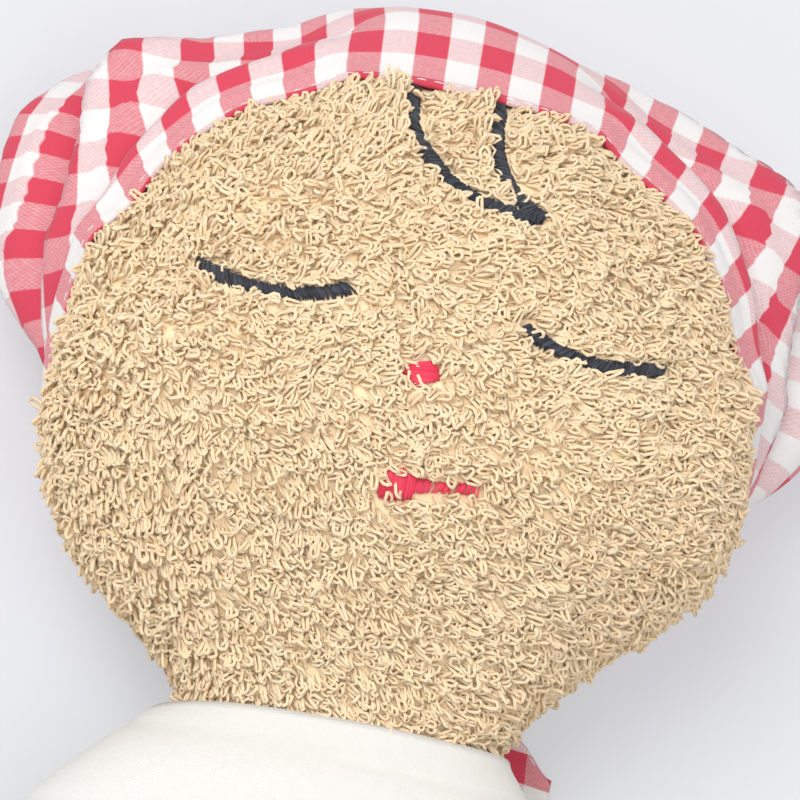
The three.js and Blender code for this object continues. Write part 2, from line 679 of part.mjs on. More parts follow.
// Assembly
addHead();
addFace();
addKerchief();
addKnot();
addTails();
addBody();
addTop();
addArm('left', 1);
addArm('right', -1);
addLeg('left', 1);
addLeg('right', -1);

// Origin: under the middle of the doll's box, on the floor
const middle = new THREE.Box3().setFromObject(doll).getCenter(new THREE.Vector3());
for (const piece of doll.children) piece.geometry.translate(0, -middle.y, 0);

export default doll;
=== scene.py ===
"""Soft rag doll: terry pile, stitching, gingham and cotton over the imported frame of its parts."""

import math
from functools import cache

import bpy
import numpy as np
from mathutils import Matrix, Vector, noise
from mathutils.bvhtree import BVHTree


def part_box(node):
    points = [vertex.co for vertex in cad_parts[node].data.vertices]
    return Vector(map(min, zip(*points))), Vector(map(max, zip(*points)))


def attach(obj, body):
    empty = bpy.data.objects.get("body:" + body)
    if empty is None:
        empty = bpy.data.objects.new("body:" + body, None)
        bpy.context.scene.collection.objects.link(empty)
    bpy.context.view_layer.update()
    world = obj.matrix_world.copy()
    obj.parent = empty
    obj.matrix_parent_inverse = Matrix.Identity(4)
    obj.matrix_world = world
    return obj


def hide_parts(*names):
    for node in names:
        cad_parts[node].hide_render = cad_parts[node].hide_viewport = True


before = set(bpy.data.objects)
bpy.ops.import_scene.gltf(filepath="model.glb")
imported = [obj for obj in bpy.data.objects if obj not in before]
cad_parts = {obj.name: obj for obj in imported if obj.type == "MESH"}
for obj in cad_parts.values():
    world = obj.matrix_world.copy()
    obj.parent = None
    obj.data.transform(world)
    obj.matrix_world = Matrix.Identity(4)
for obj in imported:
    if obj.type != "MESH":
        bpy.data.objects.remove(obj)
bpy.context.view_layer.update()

bl_info = {
    "name": "Rag Doll",
    "version": (1, 0, 0),
    "blender": (4, 5, 0),
    "location": "View3D > Sidebar > Rag Doll",
    "description": "Models the pile, the cloth and the stitching of a soft rag doll",
    "category": "Add Mesh",
}

# Shapes are worked out in mm, in the frame's axes, and become metres when a mesh is made.
MM = 0.001
EYE_Y = 115.0            # level of the eye line
NECK = (0.0, 55.0, 28.0)   # neck axis
SHOULDER = np.array([46.3, 17.0, 22.0])   # middle of the left shoulder seam
POWER = 2.4              # squareness of a stuffed section, 2 being an ellipse
UP = np.array([0.0, 0.0, 1.0])
SIDES = (("left", 1), ("right", -1))
RAY = 400.0              # how far a ray is cast


# Properties

def srgb(red, green, blue):
    """Linear colour of a screen colour in steps of 255."""
    def linear(value):
        share = value / 255
        return share / 12.92 if share < 0.04045 else ((share + 0.055) / 1.055) ** 2.4
    return (linear(red), linear(green), linear(blue))


def length(label, text, value):
    """Property for a length that is given in mm."""
    return bpy.props.FloatProperty(
        name=label, description=text, default=value * MM, unit="LENGTH", precision=5, min=0
    )


def colour(label, text, *value):
    """Property for a colour that is given in steps of 255."""
    return bpy.props.FloatVectorProperty(
        name=label, description=text, default=srgb(*value), subtype="COLOR", size=3, min=0, max=1
    )


class DollSizes(bpy.types.PropertyGroup):
    """Sizes of the pile, the cloth and the stitches"""

    pile: length("Pile depth", "How far the terry base lies under the pile's tips", 1.3)
    loop: length("Loop length", "Length of a terry loop that lies over", 2.9)
    spacing: length("Loop spacing", "Least distance between two loops", 0.8)
    yarn: length("Yarn radius", "Half the thickness of the terry yarn", 0.285)
    check: length("Check", "Width of one gingham stripe", 5.35)
    cloth: length("Cloth", "Thickness of the gingham and the cotton", 0.45)
    line: length("Stitched line", "Width of an embroidered line", 2.35)
    thread: length("Thread radius", "Half the thickness of the embroidery thread", 0.14)
    puff: length("Kerchief puff", "How far the kerchief stands off the sides of the head", 18.0)


class DollColours(bpy.types.PropertyGroup):
    """Colours of the cloths and threads"""

    terry: colour("Terry", "Loops of the pile", 255, 241, 211)
    # Also the colour that the loops' tips are painted towards: painted shade at the tips, against painted
    # light at the roots
    terry_deep: colour("Deep terry", "Loops in a darker lot of yarn", 255, 225, 184)
    backing: colour("Backing", "Knit that the loops stand on", 255, 236, 203)
    red: colour("Red", "Red yarn of the gingham", 228, 78, 100)
    white: colour("White", "White yarn of the gingham", 250, 247, 245)
    cotton: colour("Cotton", "Cloth of the top", 246, 245, 241)
    dark_thread: colour("Dark thread", "Eyes and hair", 27, 29, 36)
    red_thread: colour("Red thread", "Nose and mouth", 228, 52, 84)
    floor: colour("Floor", "Surface under the doll", 227, 229, 233)


def size(name):
    """A size of the doll, in mm."""
    return getattr(bpy.context.scene.doll_sizes, name) / MM


def tint(name):
    """A colour of the doll, as a shader takes it."""
    return (*getattr(bpy.context.scene.doll_colours, name), 1.0)


# Small helpers

def mix(low, high, share):
    return low + (high - low) * share


def smooth(low, high, value):
    """Smooth step from 0 at low to 1 at high."""
    share = np.clip((np.asarray(value, float) - low) / (high - low), 0, 1)
    return share * share * (3 - 2 * share)


def unit(vectors):
    """Vectors brought to a length of 1."""
    long = np.linalg.norm(vectors, axis=-1, keepdims=True)
    return vectors / np.maximum(long, 1e-9)


def waves(points, pitch, seed):
    """Smooth noise from -1 to 1 at points."""
    shift = Vector((seed * 7.3, seed * 3.1, seed * 5.7))
    return np.array([noise.noise(Vector(point) / pitch + shift) for point in points])


def activate(obj):
    """Makes an object the only one selected, and the active one."""
    bpy.ops.object.select_all(action="DESELECT")
    obj.select_set(True)
    bpy.context.view_layer.objects.active = obj


def apply_modifier(obj, kind, **settings):
    """Adds a modifier to an object and applies it."""
    activate(obj)
    modifier = obj.modifiers.new(kind.lower(), kind)
    for name, value in settings.items():
        setattr(modifier, name, value)
    bpy.ops.object.modifier_apply(modifier=modifier.name)


def read(data, field, kind=float):
    """Vectors in a field of a mesh's data, row by row."""
    flat = np.empty(len(data) * 3, kind)
    data.foreach_get(field, flat)
    return flat.reshape(-1, 3)


def points_of(obj):
    """Vertices of an object, in mm."""
    return read(obj.data.vertices, "co") / MM


def normals_of(obj):
    """Vertex normals of an object."""
    return read(obj.data.vertices, "normal")


def set_points(obj, points):
    """Moves the vertices of an object to points in mm."""
    obj.data.vertices.foreach_set("co", (np.asarray(points) * MM).ravel())
    obj.data.update()


def quad_object(name, points, quads):
    """Smooth object of points in mm and four-sided faces."""
    mesh = bpy.data.meshes.new(name)
    mesh.vertices.add(len(points))
    mesh.vertices.foreach_set("co", (np.asarray(points, float) * MM).ravel())
    quads = np.asarray(quads, np.int32)
    mesh.loops.add(quads.size)
    mesh.loops.foreach_set("vertex_index", quads.ravel())
    mesh.polygons.add(len(quads))
    mesh.polygons.foreach_set("loop_start", np.arange(0, quads.size, 4, dtype=np.int32))
    mesh.polygons.foreach_set("use_smooth", np.ones(len(quads), bool))
    mesh.update(calc_edges=True)
    mesh.validate()
    obj = bpy.data.objects.new(name, mesh)
    bpy.context.collection.objects.link(obj)
    return obj


def set_tone(obj, values):
    """Stores a value from 0 to 1 at each vertex, for the material."""
    attribute = obj.data.attributes.new("tone", "FLOAT", "POINT")
    attribute.data.foreach_set("value", np.asarray(values, np.float32))


def set_uv(obj, places):
    """Stores a place on the cloth, in mm, at each vertex."""
    layer = obj.data.uv_layers.new(name="cloth")
    corner = np.empty(len(obj.data.loops), np.int32)
    obj.data.loops.foreach_get("vertex_index", corner)
    layer.data.foreach_set("uv", np.asarray(places, np.float32)[corner].ravel())


def tubes(paths, radii, ups, sides):
    """Closed tubes along paths of equal length: points and quads. ups are vectors across each path."""
    count, rings = paths.shape[:2]
    along = unit(np.gradient(paths, axis=1))
    across = unit(np.cross(ups[:, None, :], along))
    over = np.cross(along, across)
    turn = 2 * math.pi * (np.arange(sides) + 0.5) / sides
    spread = np.cos(turn)[:, None] * across[:, :, None, :] + np.sin(turn)[:, None] * over[:, :, None, :]
    points = paths[:, :, None, :] + np.broadcast_to(radii, (count, rings))[:, :, None, None] * spread
    ring, side = np.meshgrid(np.arange(rings - 1), np.arange(sides), indexing="ij")
    start = ring * sides + side
    beside = ring * sides + (side + 1) % sides
    skin = np.stack([start, beside, beside + sides, start + sides], -1).reshape(-1, 4)
    cap = np.array([[0, k, k + 1, k + 2] for k in range(1, sides - 2, 2)])
    one = np.concatenate([skin, cap[:, ::-1], cap + (rings - 1) * sides])
    quads = one[None] + (np.arange(count) * rings * sides)[:, None, None]
    return points.reshape(-1, 3), quads.reshape(-1, 4)


def grid_quads(rows, columns):
    """Quads of a grid of points that is stored row by row."""
    row, column = np.meshgrid(np.arange(rows - 1), np.arange(columns - 1), indexing="ij")
    start = row * columns + column
    return np.stack([start, start + 1, start + 1 + columns, start + columns], -1).reshape(-1, 4)


def ball(name, segments, rings):
    """Unit ball to shape a piece from, with its faces in an order that is the same each run."""
    bpy.ops.object.select_all(action="DESELECT")
    bpy.ops.mesh.primitive_uv_sphere_add(segments=segments, ring_count=rings, radius=1)
    obj = bpy.context.object
    obj.name = name
    obj.data.name = name
    points = [tuple(vertex.co) for vertex in obj.data.vertices]
    faces = sorted(tuple(face.vertices) for face in obj.data.polygons)
    obj.data.clear_geometry()
    obj.data.from_pydata(points, [], faces)
    return obj


def weld(obj):
    """Joins the points of a mesh that lie in one place."""
    activate(obj)
    bpy.ops.object.mode_set(mode="EDIT")
    bpy.ops.mesh.select_all(action="SELECT")
    bpy.ops.mesh.remove_doubles(threshold=0.00001)
    bpy.ops.object.mode_set(mode="OBJECT")


def gone_along(line):
    """Distance gone along a line at each of its points."""
    return np.concatenate([[0], np.cumsum(np.linalg.norm(np.diff(line, axis=0), axis=1))])


def at_steps(steps, gone, line):
    """Points or vectors of a line at steps along it."""
    return np.stack([np.interp(steps, gone, line[:, axis]) for axis in range(line.shape[1])], -1)


def tree_of(obj):
    """Search tree of an object's faces, for casting rays at it in mm."""
    points = [tuple(point) for point in points_of(obj)]
    return BVHTree.FromPolygons(points, [tuple(face.vertices) for face in obj.data.polygons])


def cast(tree, starts, directions):
    """Distance from each start to the surface along its direction, or nan."""
    found = []
    for start, direction in zip(starts, directions):
        hit = tree.ray_cast(Vector(start), Vector(direction), RAY)
        found.append(math.nan if hit[0] is None else hit[3])
    return np.array(found)


def on_face(tree, flat):
    """Places on the front of the head over points (x, y), and the normals there."""
    hits = [tree.ray_cast(Vector((x, y, RAY / 2)), Vector((0, 0, -1)), RAY) for x, y in flat]
    return np.array([hit[0] for hit in hits]), np.array([hit[1] for hit in hits])


def finish_piece(obj, body, material, nodes=()):
    """Gives a piece its material, its body and the nodes that it stands for."""
    obj.data.materials.clear()
    obj.data.materials.append(material)
    if nodes:
        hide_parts(*nodes)
    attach(obj, body)


# Materials

def add_node(tree, kind, inputs=None, **settings):
    """New shader node. An input is given a value, or a socket that it is linked to."""
    new = tree.nodes.new(kind)
    for name, value in settings.items():
        setattr(new, name, value)
    for name, value in (inputs or {}).items():
        if isinstance(value, bpy.types.NodeSocket):
            tree.links.new(value, new.inputs[name])
        else:
            new.inputs[name].default_value = value
    return new


def math_node(tree, operation, first, second=0.0):
    """Result of a sum on two values or sockets."""
    return add_node(tree, "ShaderNodeMath", {0: first, 1: second}, operation=operation).outputs[0]


def mix_colour(tree, share, low, high):
    """Colour between two colours or sockets."""
    new = add_node(tree, "ShaderNodeMix", {"Factor": share, 6: low, 7: high}, data_type="RGBA")
    return new.outputs[2]


def new_group(name, inputs, outputs):
    """Empty shader node group with its sockets: tree, input node, output node."""
    tree = bpy.data.node_groups.new(name, "ShaderNodeTree")
    for label, kind in inputs:
        tree.interface.new_socket(label, in_out="INPUT", socket_type=kind)
    for label, kind in outputs:
        tree.interface.new_socket(label, in_out="OUTPUT", socket_type=kind)
    return tree, tree.nodes.new("NodeGroupInput"), tree.nodes.new("NodeGroupOutput")


@cache
def weave_group():
    """Plain weave: where the warp lies on top, and how high the yarn stands."""
    sockets = [("Place", "NodeSocketVector"), ("Threads per mm", "NodeSocketFloat")]
    results = [("Over", "NodeSocketFloat"), ("Height", "NodeSocketFloat")]
    tree, start, end = new_group("Plain weave", sockets, results)
    place = add_node(tree, "ShaderNodeSeparateXYZ", {0: start.outputs["Place"]})
    rate = math_node(tree, "MULTIPLY", start.outputs["Threads per mm"], math.pi)
    across, along = (
        math_node(tree, "SINE", math_node(tree, "MULTIPLY", place.outputs[axis], rate)) for axis in (0, 1)
    )
    product = math_node(tree, "MULTIPLY", across, along)
    over = add_node(tree, "ShaderNodeMapRange", {"Value": product, "From Min": -0.4, "From Max": 0.4})
    tree.links.new(over.outputs[0], end.inputs["Over"])
    height = math_node(tree, "SQRT", math_node(tree, "ABSOLUTE", product))
    tree.links.new(height, end.inputs["Height"])
    return tree


@cache
def stripe_group():
    """Mask of even stripes across one direction of the cloth, with woven edges."""
    sockets = [("Distance", "NodeSocketFloat"), ("Width", "NodeSocketFloat")]
    tree, start, end = new_group("Stripes", sockets, [("Mask", "NodeSocketFloat")])
    share = math_node(tree, "DIVIDE", start.outputs["Distance"], start.outputs["Width"])
    wave = math_node(tree, "SINE", math_node(tree, "MULTIPLY", share, math.pi))
    mask = add_node(tree, "ShaderNodeMapRange", {"Value": wave, "From Min": -0.07, "From Max": 0.07})
    tree.links.new(mask.outputs[0], end.inputs["Mask"])
    return tree


def new_material(name):
    """Material with an empty node tree: material, tree, output node."""
    material = bpy.data.materials.new(name)
    material.use_nodes = True
    tree = material.node_tree
    tree.nodes.clear()
    return material, tree, tree.nodes.new("ShaderNodeOutputMaterial")


def blend(tree, end, share, first, second):
    """Mixes two shaders into the surface of a material."""
    both = add_node(tree, "ShaderNodeMixShader", {0: share, 1: first.outputs[0], 2: second.outputs[0]})
    tree.links.new(both.outputs[0], end.inputs["Surface"])


@cache
def terry_material():
    """Soft cotton yarn, a little translucent, that differs from loop to loop, with painted light that
    makes the loops lighter at their roots and deeper at their tips.
    """
    material, tree, end = new_material("Terry loops")
    tone = add_node(tree, "ShaderNodeAttribute", attribute_name="tone")
    place = add_node(tree, "ShaderNodeTexCoord").outputs["Object"]
    cloudy = add_node(tree, "ShaderNodeTexNoise", {"Vector": place, "Scale": 60.0, "Detail": 2.0})
    share = math_node(tree, "MULTIPLY", tone.outputs["Fac"], 0.75)
    share = math_node(tree, "ADD", share, math_node(tree, "MULTIPLY", cloudy.outputs["Fac"], 0.25))
    yarn = mix_colour(tree, share, tint("terry_deep"), tint("terry"))
    solid = add_node(tree, "ShaderNodeBsdfPrincipled", {
        "Base Color": yarn, "Roughness": 0.9, "Sheen Weight": 0.1, "Sheen Roughness": 0.5,
        "Specular IOR Level": 0.08,
    })
    glow = add_node(tree, "ShaderNodeBsdfTranslucent", {"Color": yarn})
    blend(tree, end, 0.1, solid, glow)
    return material


@cache
def backing_material():
    """Knit that shows between the loops."""
    material, tree, end = new_material("Terry backing")
    place = add_node(tree, "ShaderNodeTexCoord").outputs["Object"]
    knit = add_node(tree, "ShaderNodeTexNoise", {"Vector": place, "Scale": 900.0, "Detail": 3.0})
    shade = mix_colour(tree, knit.outputs["Fac"], tint("terry_deep"), tint("backing"))
    bump = add_node(tree, "ShaderNodeBump", {
        "Height": knit.outputs["Fac"], "Strength": 0.5, "Distance": 0.0004,
    })
    solid = add_node(tree, "ShaderNodeBsdfPrincipled", {
        "Base Color": shade, "Roughness": 0.95, "Normal": bump.outputs[0], "Specular IOR Level": 0.1,
    })
    tree.links.new(solid.outputs[0], end.inputs["Surface"])
    return material


def cloth_shader(tree, end, base, height, sheen, thin):
    """Thin woven cloth: a matt face with raised yarn, that lets some light through."""
    bump = add_node(tree, "ShaderNodeBump", {"Height": height, "Strength": 0.45, "Distance": 0.00012})
    solid = add_node(tree, "ShaderNodeBsdfPrincipled", {
        "Base Color": base, "Roughness": 0.85, "Sheen Weight": sheen, "Sheen Roughness": 0.45,
        "Specular IOR Level": 0.2, "Normal": bump.outputs[0],
    })
    glow = add_node(tree, "ShaderNodeBsdfTranslucent", {"Color": base})
    blend(tree, end, thin, solid, glow)


def woven(tree, threads):
    """Place on the cloth, and the plain weave there, of so many threads per mm."""
    place = add_node(tree, "ShaderNodeUVMap", uv_map="cloth").outputs[0]
    inputs = {"Place": place, "Threads per mm": threads}
    return place, add_node(tree, "ShaderNodeGroup", inputs, node_tree=weave_group())


@cache
def gingham_material():
    """Red and white check, with the red warp lying over the white weft."""
    material, tree, end = new_material("Gingham")
    place, weave = woven(tree, 2.8)
    parts = add_node(tree, "ShaderNodeSeparateXYZ", {0: place})
    yarns = []
    for axis in (0, 1):
        inputs = {"Distance": parts.outputs[axis], "Width": size("check")}
        stripe = add_node(tree, "ShaderNodeGroup", inputs, node_tree=stripe_group())
        yarns.append(mix_colour(tree, stripe.outputs["Mask"], tint("white"), tint("red")))
    cover = math_node(tree, "MULTIPLY_ADD", weave.outputs["Over"], 0.16)
    cover.node.inputs[2].default_value = 0.62
    slub = add_node(tree, "ShaderNodeTexNoise", {"Vector": place, "Scale": 1.3, "Detail": 3.0})
    uneven = math_node(tree, "MULTIPLY", math_node(tree, "SUBTRACT", slub.outputs["Fac"], 0.5), 0.3)
    base = mix_colour(tree, math_node(tree, "ADD", cover, uneven), yarns[1], yarns[0])
    cloth_shader(tree, end, base, weave.outputs["Height"], 0.2, 0.12)
    return material


@cache
def cotton_material():
    """Plain white cotton with a fine weave and soft slubs."""
    material, tree, end = new_material("Cotton")
    place, weave = woven(tree, 2.2)
    slub = add_node(tree, "ShaderNodeTexNoise", {"Vector": place, "Scale": 0.5, "Detail": 4.0})
    shade = math_node(tree, "MULTIPLY", slub.outputs["Fac"], 0.12)
    base = mix_colour(tree, shade, tint("cotton"), (*srgb(226, 222, 214), 1))
    height = math_node(tree, "ADD", weave.outputs["Height"], slub.outputs["Fac"])
    cloth_shader(tree, end, base, height, 0.3, 0.15)
    return material


# Each thread's name, and the colour of its painted highlight, which stitches take in random shares
THREADS = {
    "dark_thread": ("Dark thread", (70, 75, 88)),
    "red_thread": ("Red thread", (238, 78, 104)),
    "white": ("Topstitch", (255, 250, 248)),
}


@cache
def thread_material(key):
    """Spun embroidery thread with a soft shine, and a painted highlight on the stitches of high tone."""
    name, painted_highlight = THREADS[key]
    material, tree, end = new_material(name)
    tone = add_node(tree, "ShaderNodeAttribute", attribute_name="tone")
    # Painted highlight: each stitch is mixed from its thread's colour towards a lighter highlight colour
    # by its random tone
    shade = mix_colour(tree, tone.outputs["Fac"], tint(key), (*srgb(*painted_highlight), 1))
    solid = add_node(tree, "ShaderNodeBsdfPrincipled", {
        "Base Color": shade, "Roughness": 0.5, "Sheen Weight": 0.15, "Specular IOR Level": 0.35,
    })
    tree.links.new(solid.outputs[0], end.inputs["Surface"])
    return material


# Stuffed forms

SLACK = 0.4              # share of its swelling by which a form starts smaller
FORM_GAP = 0.25          # least height of a form over the floor
SWELL_FRAMES = 20
LOFT_SEGMENTS = 72


def bounds_of(nodes):
    """Low and high corner of the box round some nodes, in metres."""
    corners = np.array([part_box(node) for node in nodes])
    return corners[:, 0].min(axis=0), corners[:, 1].max(axis=0)


def copy_of(nodes):
    """Hidden object of the meshes of some nodes, to shape a form by."""
    points = []
    faces = []
    for node in nodes:
        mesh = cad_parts[node].data
        start = len(points)
        points += [tuple(vertex.co) for vertex in mesh.vertices]
        faces += [[start + corner for corner in face.vertices] for face in mesh.polygons]
    mesh = bpy.data.meshes.new("shape")
    mesh.from_pydata(points, [], faces)
    obj = bpy.data.objects.new("shape", mesh)
    bpy.context.collection.objects.link(obj)
    return obj


def plump(obj, held, cap):
    """Swells a form by air pressure, with some vertices held, and caps how far a point moves."""
    before = points_of(obj)
    seam = obj.vertex_groups.new(name="seam")
    seam.add([int(index) for index in np.flatnonzero(held)], 1.0, "REPLACE")
    activate(obj)
    cloth = obj.modifiers.new("cloth", "CLOTH")
    cloth.settings.quality = 5
    cloth.settings.use_pressure = True
    cloth.settings.uniform_pressure_force = 4.0
    cloth.settings.effector_weights.gravity = 0.0
    cloth.settings.vertex_group_mass = seam.name
    cloth.collision_settings.use_collision = False
    cloth.point_cache.frame_start = 1
    cloth.point_cache.frame_end = SWELL_FRAMES
    scene = bpy.context.scene
    for step in range(1, SWELL_FRAMES + 1):
        scene.frame_set(step)
    bpy.ops.object.modifier_apply(modifier=cloth.name)
    scene.frame_set(1)
    moved = points_of(obj) - before
    far = np.linalg.norm(moved, axis=1, keepdims=True)
    set_points(obj, before + moved * np.minimum(1, cap / np.maximum(far, 1e-6)))
    obj.vertex_groups.clear()


def swell(obj, held, cap, rounds, levels):
    """Swells a form, smooths it and sets it on the floor.

    Where its points lay before is stored, for a layout of loops that is the same each run.
    """
    rest = obj.data.attributes.new("rest", "FLOAT_VECTOR", "POINT")
    rest.data.foreach_set("vector", points_of(obj).ravel())
    plump(obj, held(points_of(obj), normals_of(obj)), cap)
    apply_modifier(obj, "SMOOTH", factor=0.5, iterations=rounds)
    if levels:
        apply_modifier(obj, "SUBSURF", levels=levels, render_levels=levels)
    points = points_of(obj)
    points[:, 2] = np.maximum(points[:, 2], FORM_GAP)
    set_points(obj, points)
    bpy.ops.object.shade_smooth()
    return obj


def stuffed(name, nodes, voxel, cap, held):
    """Soft closed form in the place of some nodes, under the depth of the pile."""
    shape = copy_of(nodes)
    low, high = bounds_of(nodes)
    obj = ball(name, 64, 32)
    bpy.ops.object.mode_set(mode="EDIT")
    bpy.ops.mesh.select_all(action="SELECT")
    bpy.ops.transform.resize(value=tuple(0.53 * (high - low)))
    bpy.ops.transform.translate(value=tuple((low + high) / 2))
    bpy.ops.object.mode_set(mode="OBJECT")
    apply_modifier(
        obj, "SHRINKWRAP", target=shape, wrap_method="PROJECT",
        use_negative_direction=True, use_positive_direction=False,
    )
    apply_modifier(obj, "REMESH", mode="VOXEL", voxel_size=voxel * MM)
    apply_modifier(obj, "SHRINKWRAP", target=shape, wrap_method="NEAREST_SURFACEPOINT")
    apply_modifier(obj, "SMOOTH", factor=0.5, iterations=6)
    apply_modifier(obj, "DISPLACE", strength=-(size("pile") + SLACK * cap) * MM, mid_level=0.0)
    bpy.data.objects.remove(shape)
    return swell(obj, held, cap, 3, 1)


def lofted(name, nodes, cap, held):
    """Soft closed form in the place of some nodes: a ball drawn out to flat sewn ends."""
    shape = copy_of(nodes)
    tree = tree_of(shape)
    low, high = (corner / MM for corner in bounds_of(nodes))
    obj = ball(name, LOFT_SEGMENTS, 80)
    start = points_of(obj) * MM
    share = np.arcsin(np.clip(start[:, 2], -1, 1)) * 2 / math.pi
    angle = math.pi / LOFT_SEGMENTS - np.arctan2(start[:, 1], start[:, 0])
    middle = np.tile((low + high) / 2, (len(start), 1))
    middle[:, 1] = mix(low[1] + 0.3, high[1] - 0.3, (share + 1) / 2)
    half = np.zeros(middle.shape)
    for axis in (2, 0):
        ends = []
        for edge, step in ((low[axis] - 10, 1), (high[axis] + 10, -1)):
            starts = middle.copy()
            starts[:, axis] = edge
            ways = np.zeros(middle.shape)
            ways[:, axis] = step
            ends.append(np.nan_to_num(edge + step * cast(tree, starts, ways), nan=middle[0, axis]))
        middle[:, axis] = (ends[0] + ends[1]) / 2
        half[:, axis] = (ends[1] - ends[0]) / 2
    aim = half * np.column_stack([np.cos(angle), np.zeros(len(angle)), np.sin(angle)])
    wide = np.linalg.norm(aim, axis=1)
    out = cast(tree, middle + 3 * aim, -unit(aim))
    reach = np.maximum(np.where(np.isnan(out), wide, 3 * wide - out), 0.05)
    inset = reach / (reach + size("pile") + SLACK * cap)
    set_points(obj, middle + unit(aim) * (reach * inset * (np.abs(share) < 0.999))[:, None])
    bpy.data.objects.remove(shape)
    return swell(obj, held, cap, 2, 0)


def settle_jaw(obj):
    """Draws the jaw up beside a slim neck, more on the doll's left, where the stuffing has slipped."""
    points = points_of(obj)
    beside = smooth(20, 42, np.abs(points[:, 0])) * np.where(points[:, 0] > 0, 9.0, 2.5)
    low = 1 - smooth(NECK[1] + 2, NECK[1] + 16, points[:, 1])
    points[:, 0] = points[:, 0] * (1 - 0.07 * low) + 1.2 * low
    points[:, 1] += beside * (1 - smooth(66, 106, points[:, 1]))
    set_points(obj, points)


def draw_to_shoulder(obj, side, end):
    """Draws the face of a form that looks to a side out to the shoulder seam, as a soft round boss."""
    points = points_of(obj)
    away = np.linalg.norm(points[:, 1:] - SHOULDER[1:], axis=1)
    share = (1 - smooth(4, 10, away)) * smooth(0.1, 0.5, side * normals_of(obj)[:, 0])
    points[:, 0] = mix(points[:, 0], end, share)
    set_points(obj, points)


def mirrored(obj, name):
    """Copy of a piece on the doll's other side, with a mesh of its own."""
    copy = obj.copy()
    copy.data = obj.data.copy()
    copy.name = name
    copy.data.name = name
    copy.parent = None
    bpy.context.collection.objects.link(copy)
    set_points(copy, points_of(copy) * [-1, 1, 1])
    copy.data.flip_normals()
    return copy


# Terry pile

LOOP_KINDS = 32
LOOP_SIDES = 4           # sides of the yarn's tube
LOOP_GAP = 0.15          # least height of the yarn over the floor
DARTS = 8                # tries at a place for a loop, in each square of the spacing
FACE_RINGS = 9           # points along a loop
LIMB_RINGS = 7
LIMB_SPACING = 1.85      # spacing on the body and the limbs against the face's


def scatter(obj, spacing, rng, keep):
    """Places spread evenly over a mesh where keep allows them, and the normals there."""
    mesh = obj.data
    mesh.calc_loop_triangles()
    corners = read(mesh.loop_triangles, "vertices", np.int32)
    points = points_of(obj)[corners]
    normals = normals_of(obj)[corners]
    rest = read(mesh.attributes["rest"].data, "vector", np.float32).astype(float)[corners]
    areas = np.linalg.norm(np.cross(rest[:, 1] - rest[:, 0], rest[:, 2] - rest[:, 0]), axis=1) / 2
    count = int(DARTS * areas.sum() / spacing ** 2)
    chosen = rng.choice(len(areas), count, p=areas / areas.sum())
    share = rng.random((count, 2))
    folded = share.sum(axis=1) > 1
    share[folded] = 1 - share[folded]
    share = np.column_stack([1 - share.sum(axis=1), share])[:, :, None]
    places = (points[chosen] * share).sum(axis=1)
    facing = unit((normals[chosen] * share).sum(axis=1))
    allowed = keep(places, facing)
    places = places[allowed]
    facing = facing[allowed]
    spread = (rest[chosen] * share).sum(axis=1)[allowed]
    cells = {}
    kept = []
    near = [(i, j, k) for i in (-1, 0, 1) for j in (-1, 0, 1) for k in (-1, 0, 1)]
    for index, place in enumerate(spread):
        cell = tuple((place // spacing).astype(int))
        beside = [cells.get((cell[0] + i, cell[1] + j, cell[2] + k), ()) for i, j, k in near]
        if any(((place - spread[other]) ** 2).sum() < spacing ** 2 for group in beside for other in group):
            continue
        cells.setdefault(cell, []).append(index)
        kept.append(index)
    return places[kept], facing[kept]


def hairpins(rng, rings):
    """Paths of some kinds of loop: up from the root, over, round a blunt turn and back."""
    turn = np.linspace(0, math.pi, rings)
    reach = np.sin(turn) ** 0.65
    sides = np.sin(2 * turn) + 0.25 * np.cos(turn)
    paths = []
    for _ in range(LOOP_KINDS):
        ring = rng.random() < 0.24
        long = size("loop") * (rng.uniform(0.6, 0.8) if ring else rng.uniform(0.8, 1.3))
        half = rng.uniform(0.6, 0.8) if ring else rng.uniform(0.38, 0.56)
        twist = rng.normal(0, 1.0) * reach
        bend = rng.normal(0, 0.7) * reach ** 2
        sag = rng.uniform(0, 0.7)
        high = rng.uniform(1.1, 2.3) * reach ** 0.8 - sag * reach ** 4 - 0.5 * (1 - reach)
        paths.append(np.column_stack([
            long * reach + 0.1 * np.sin(5 * turn + rng.uniform(0, 6)),
            half * sides * np.cos(twist) + bend + 0.1 * np.sin(6 * turn + rng.uniform(0, 6)),
            high + half * sides * np.sin(twist),
        ]))
    return np.array(paths)


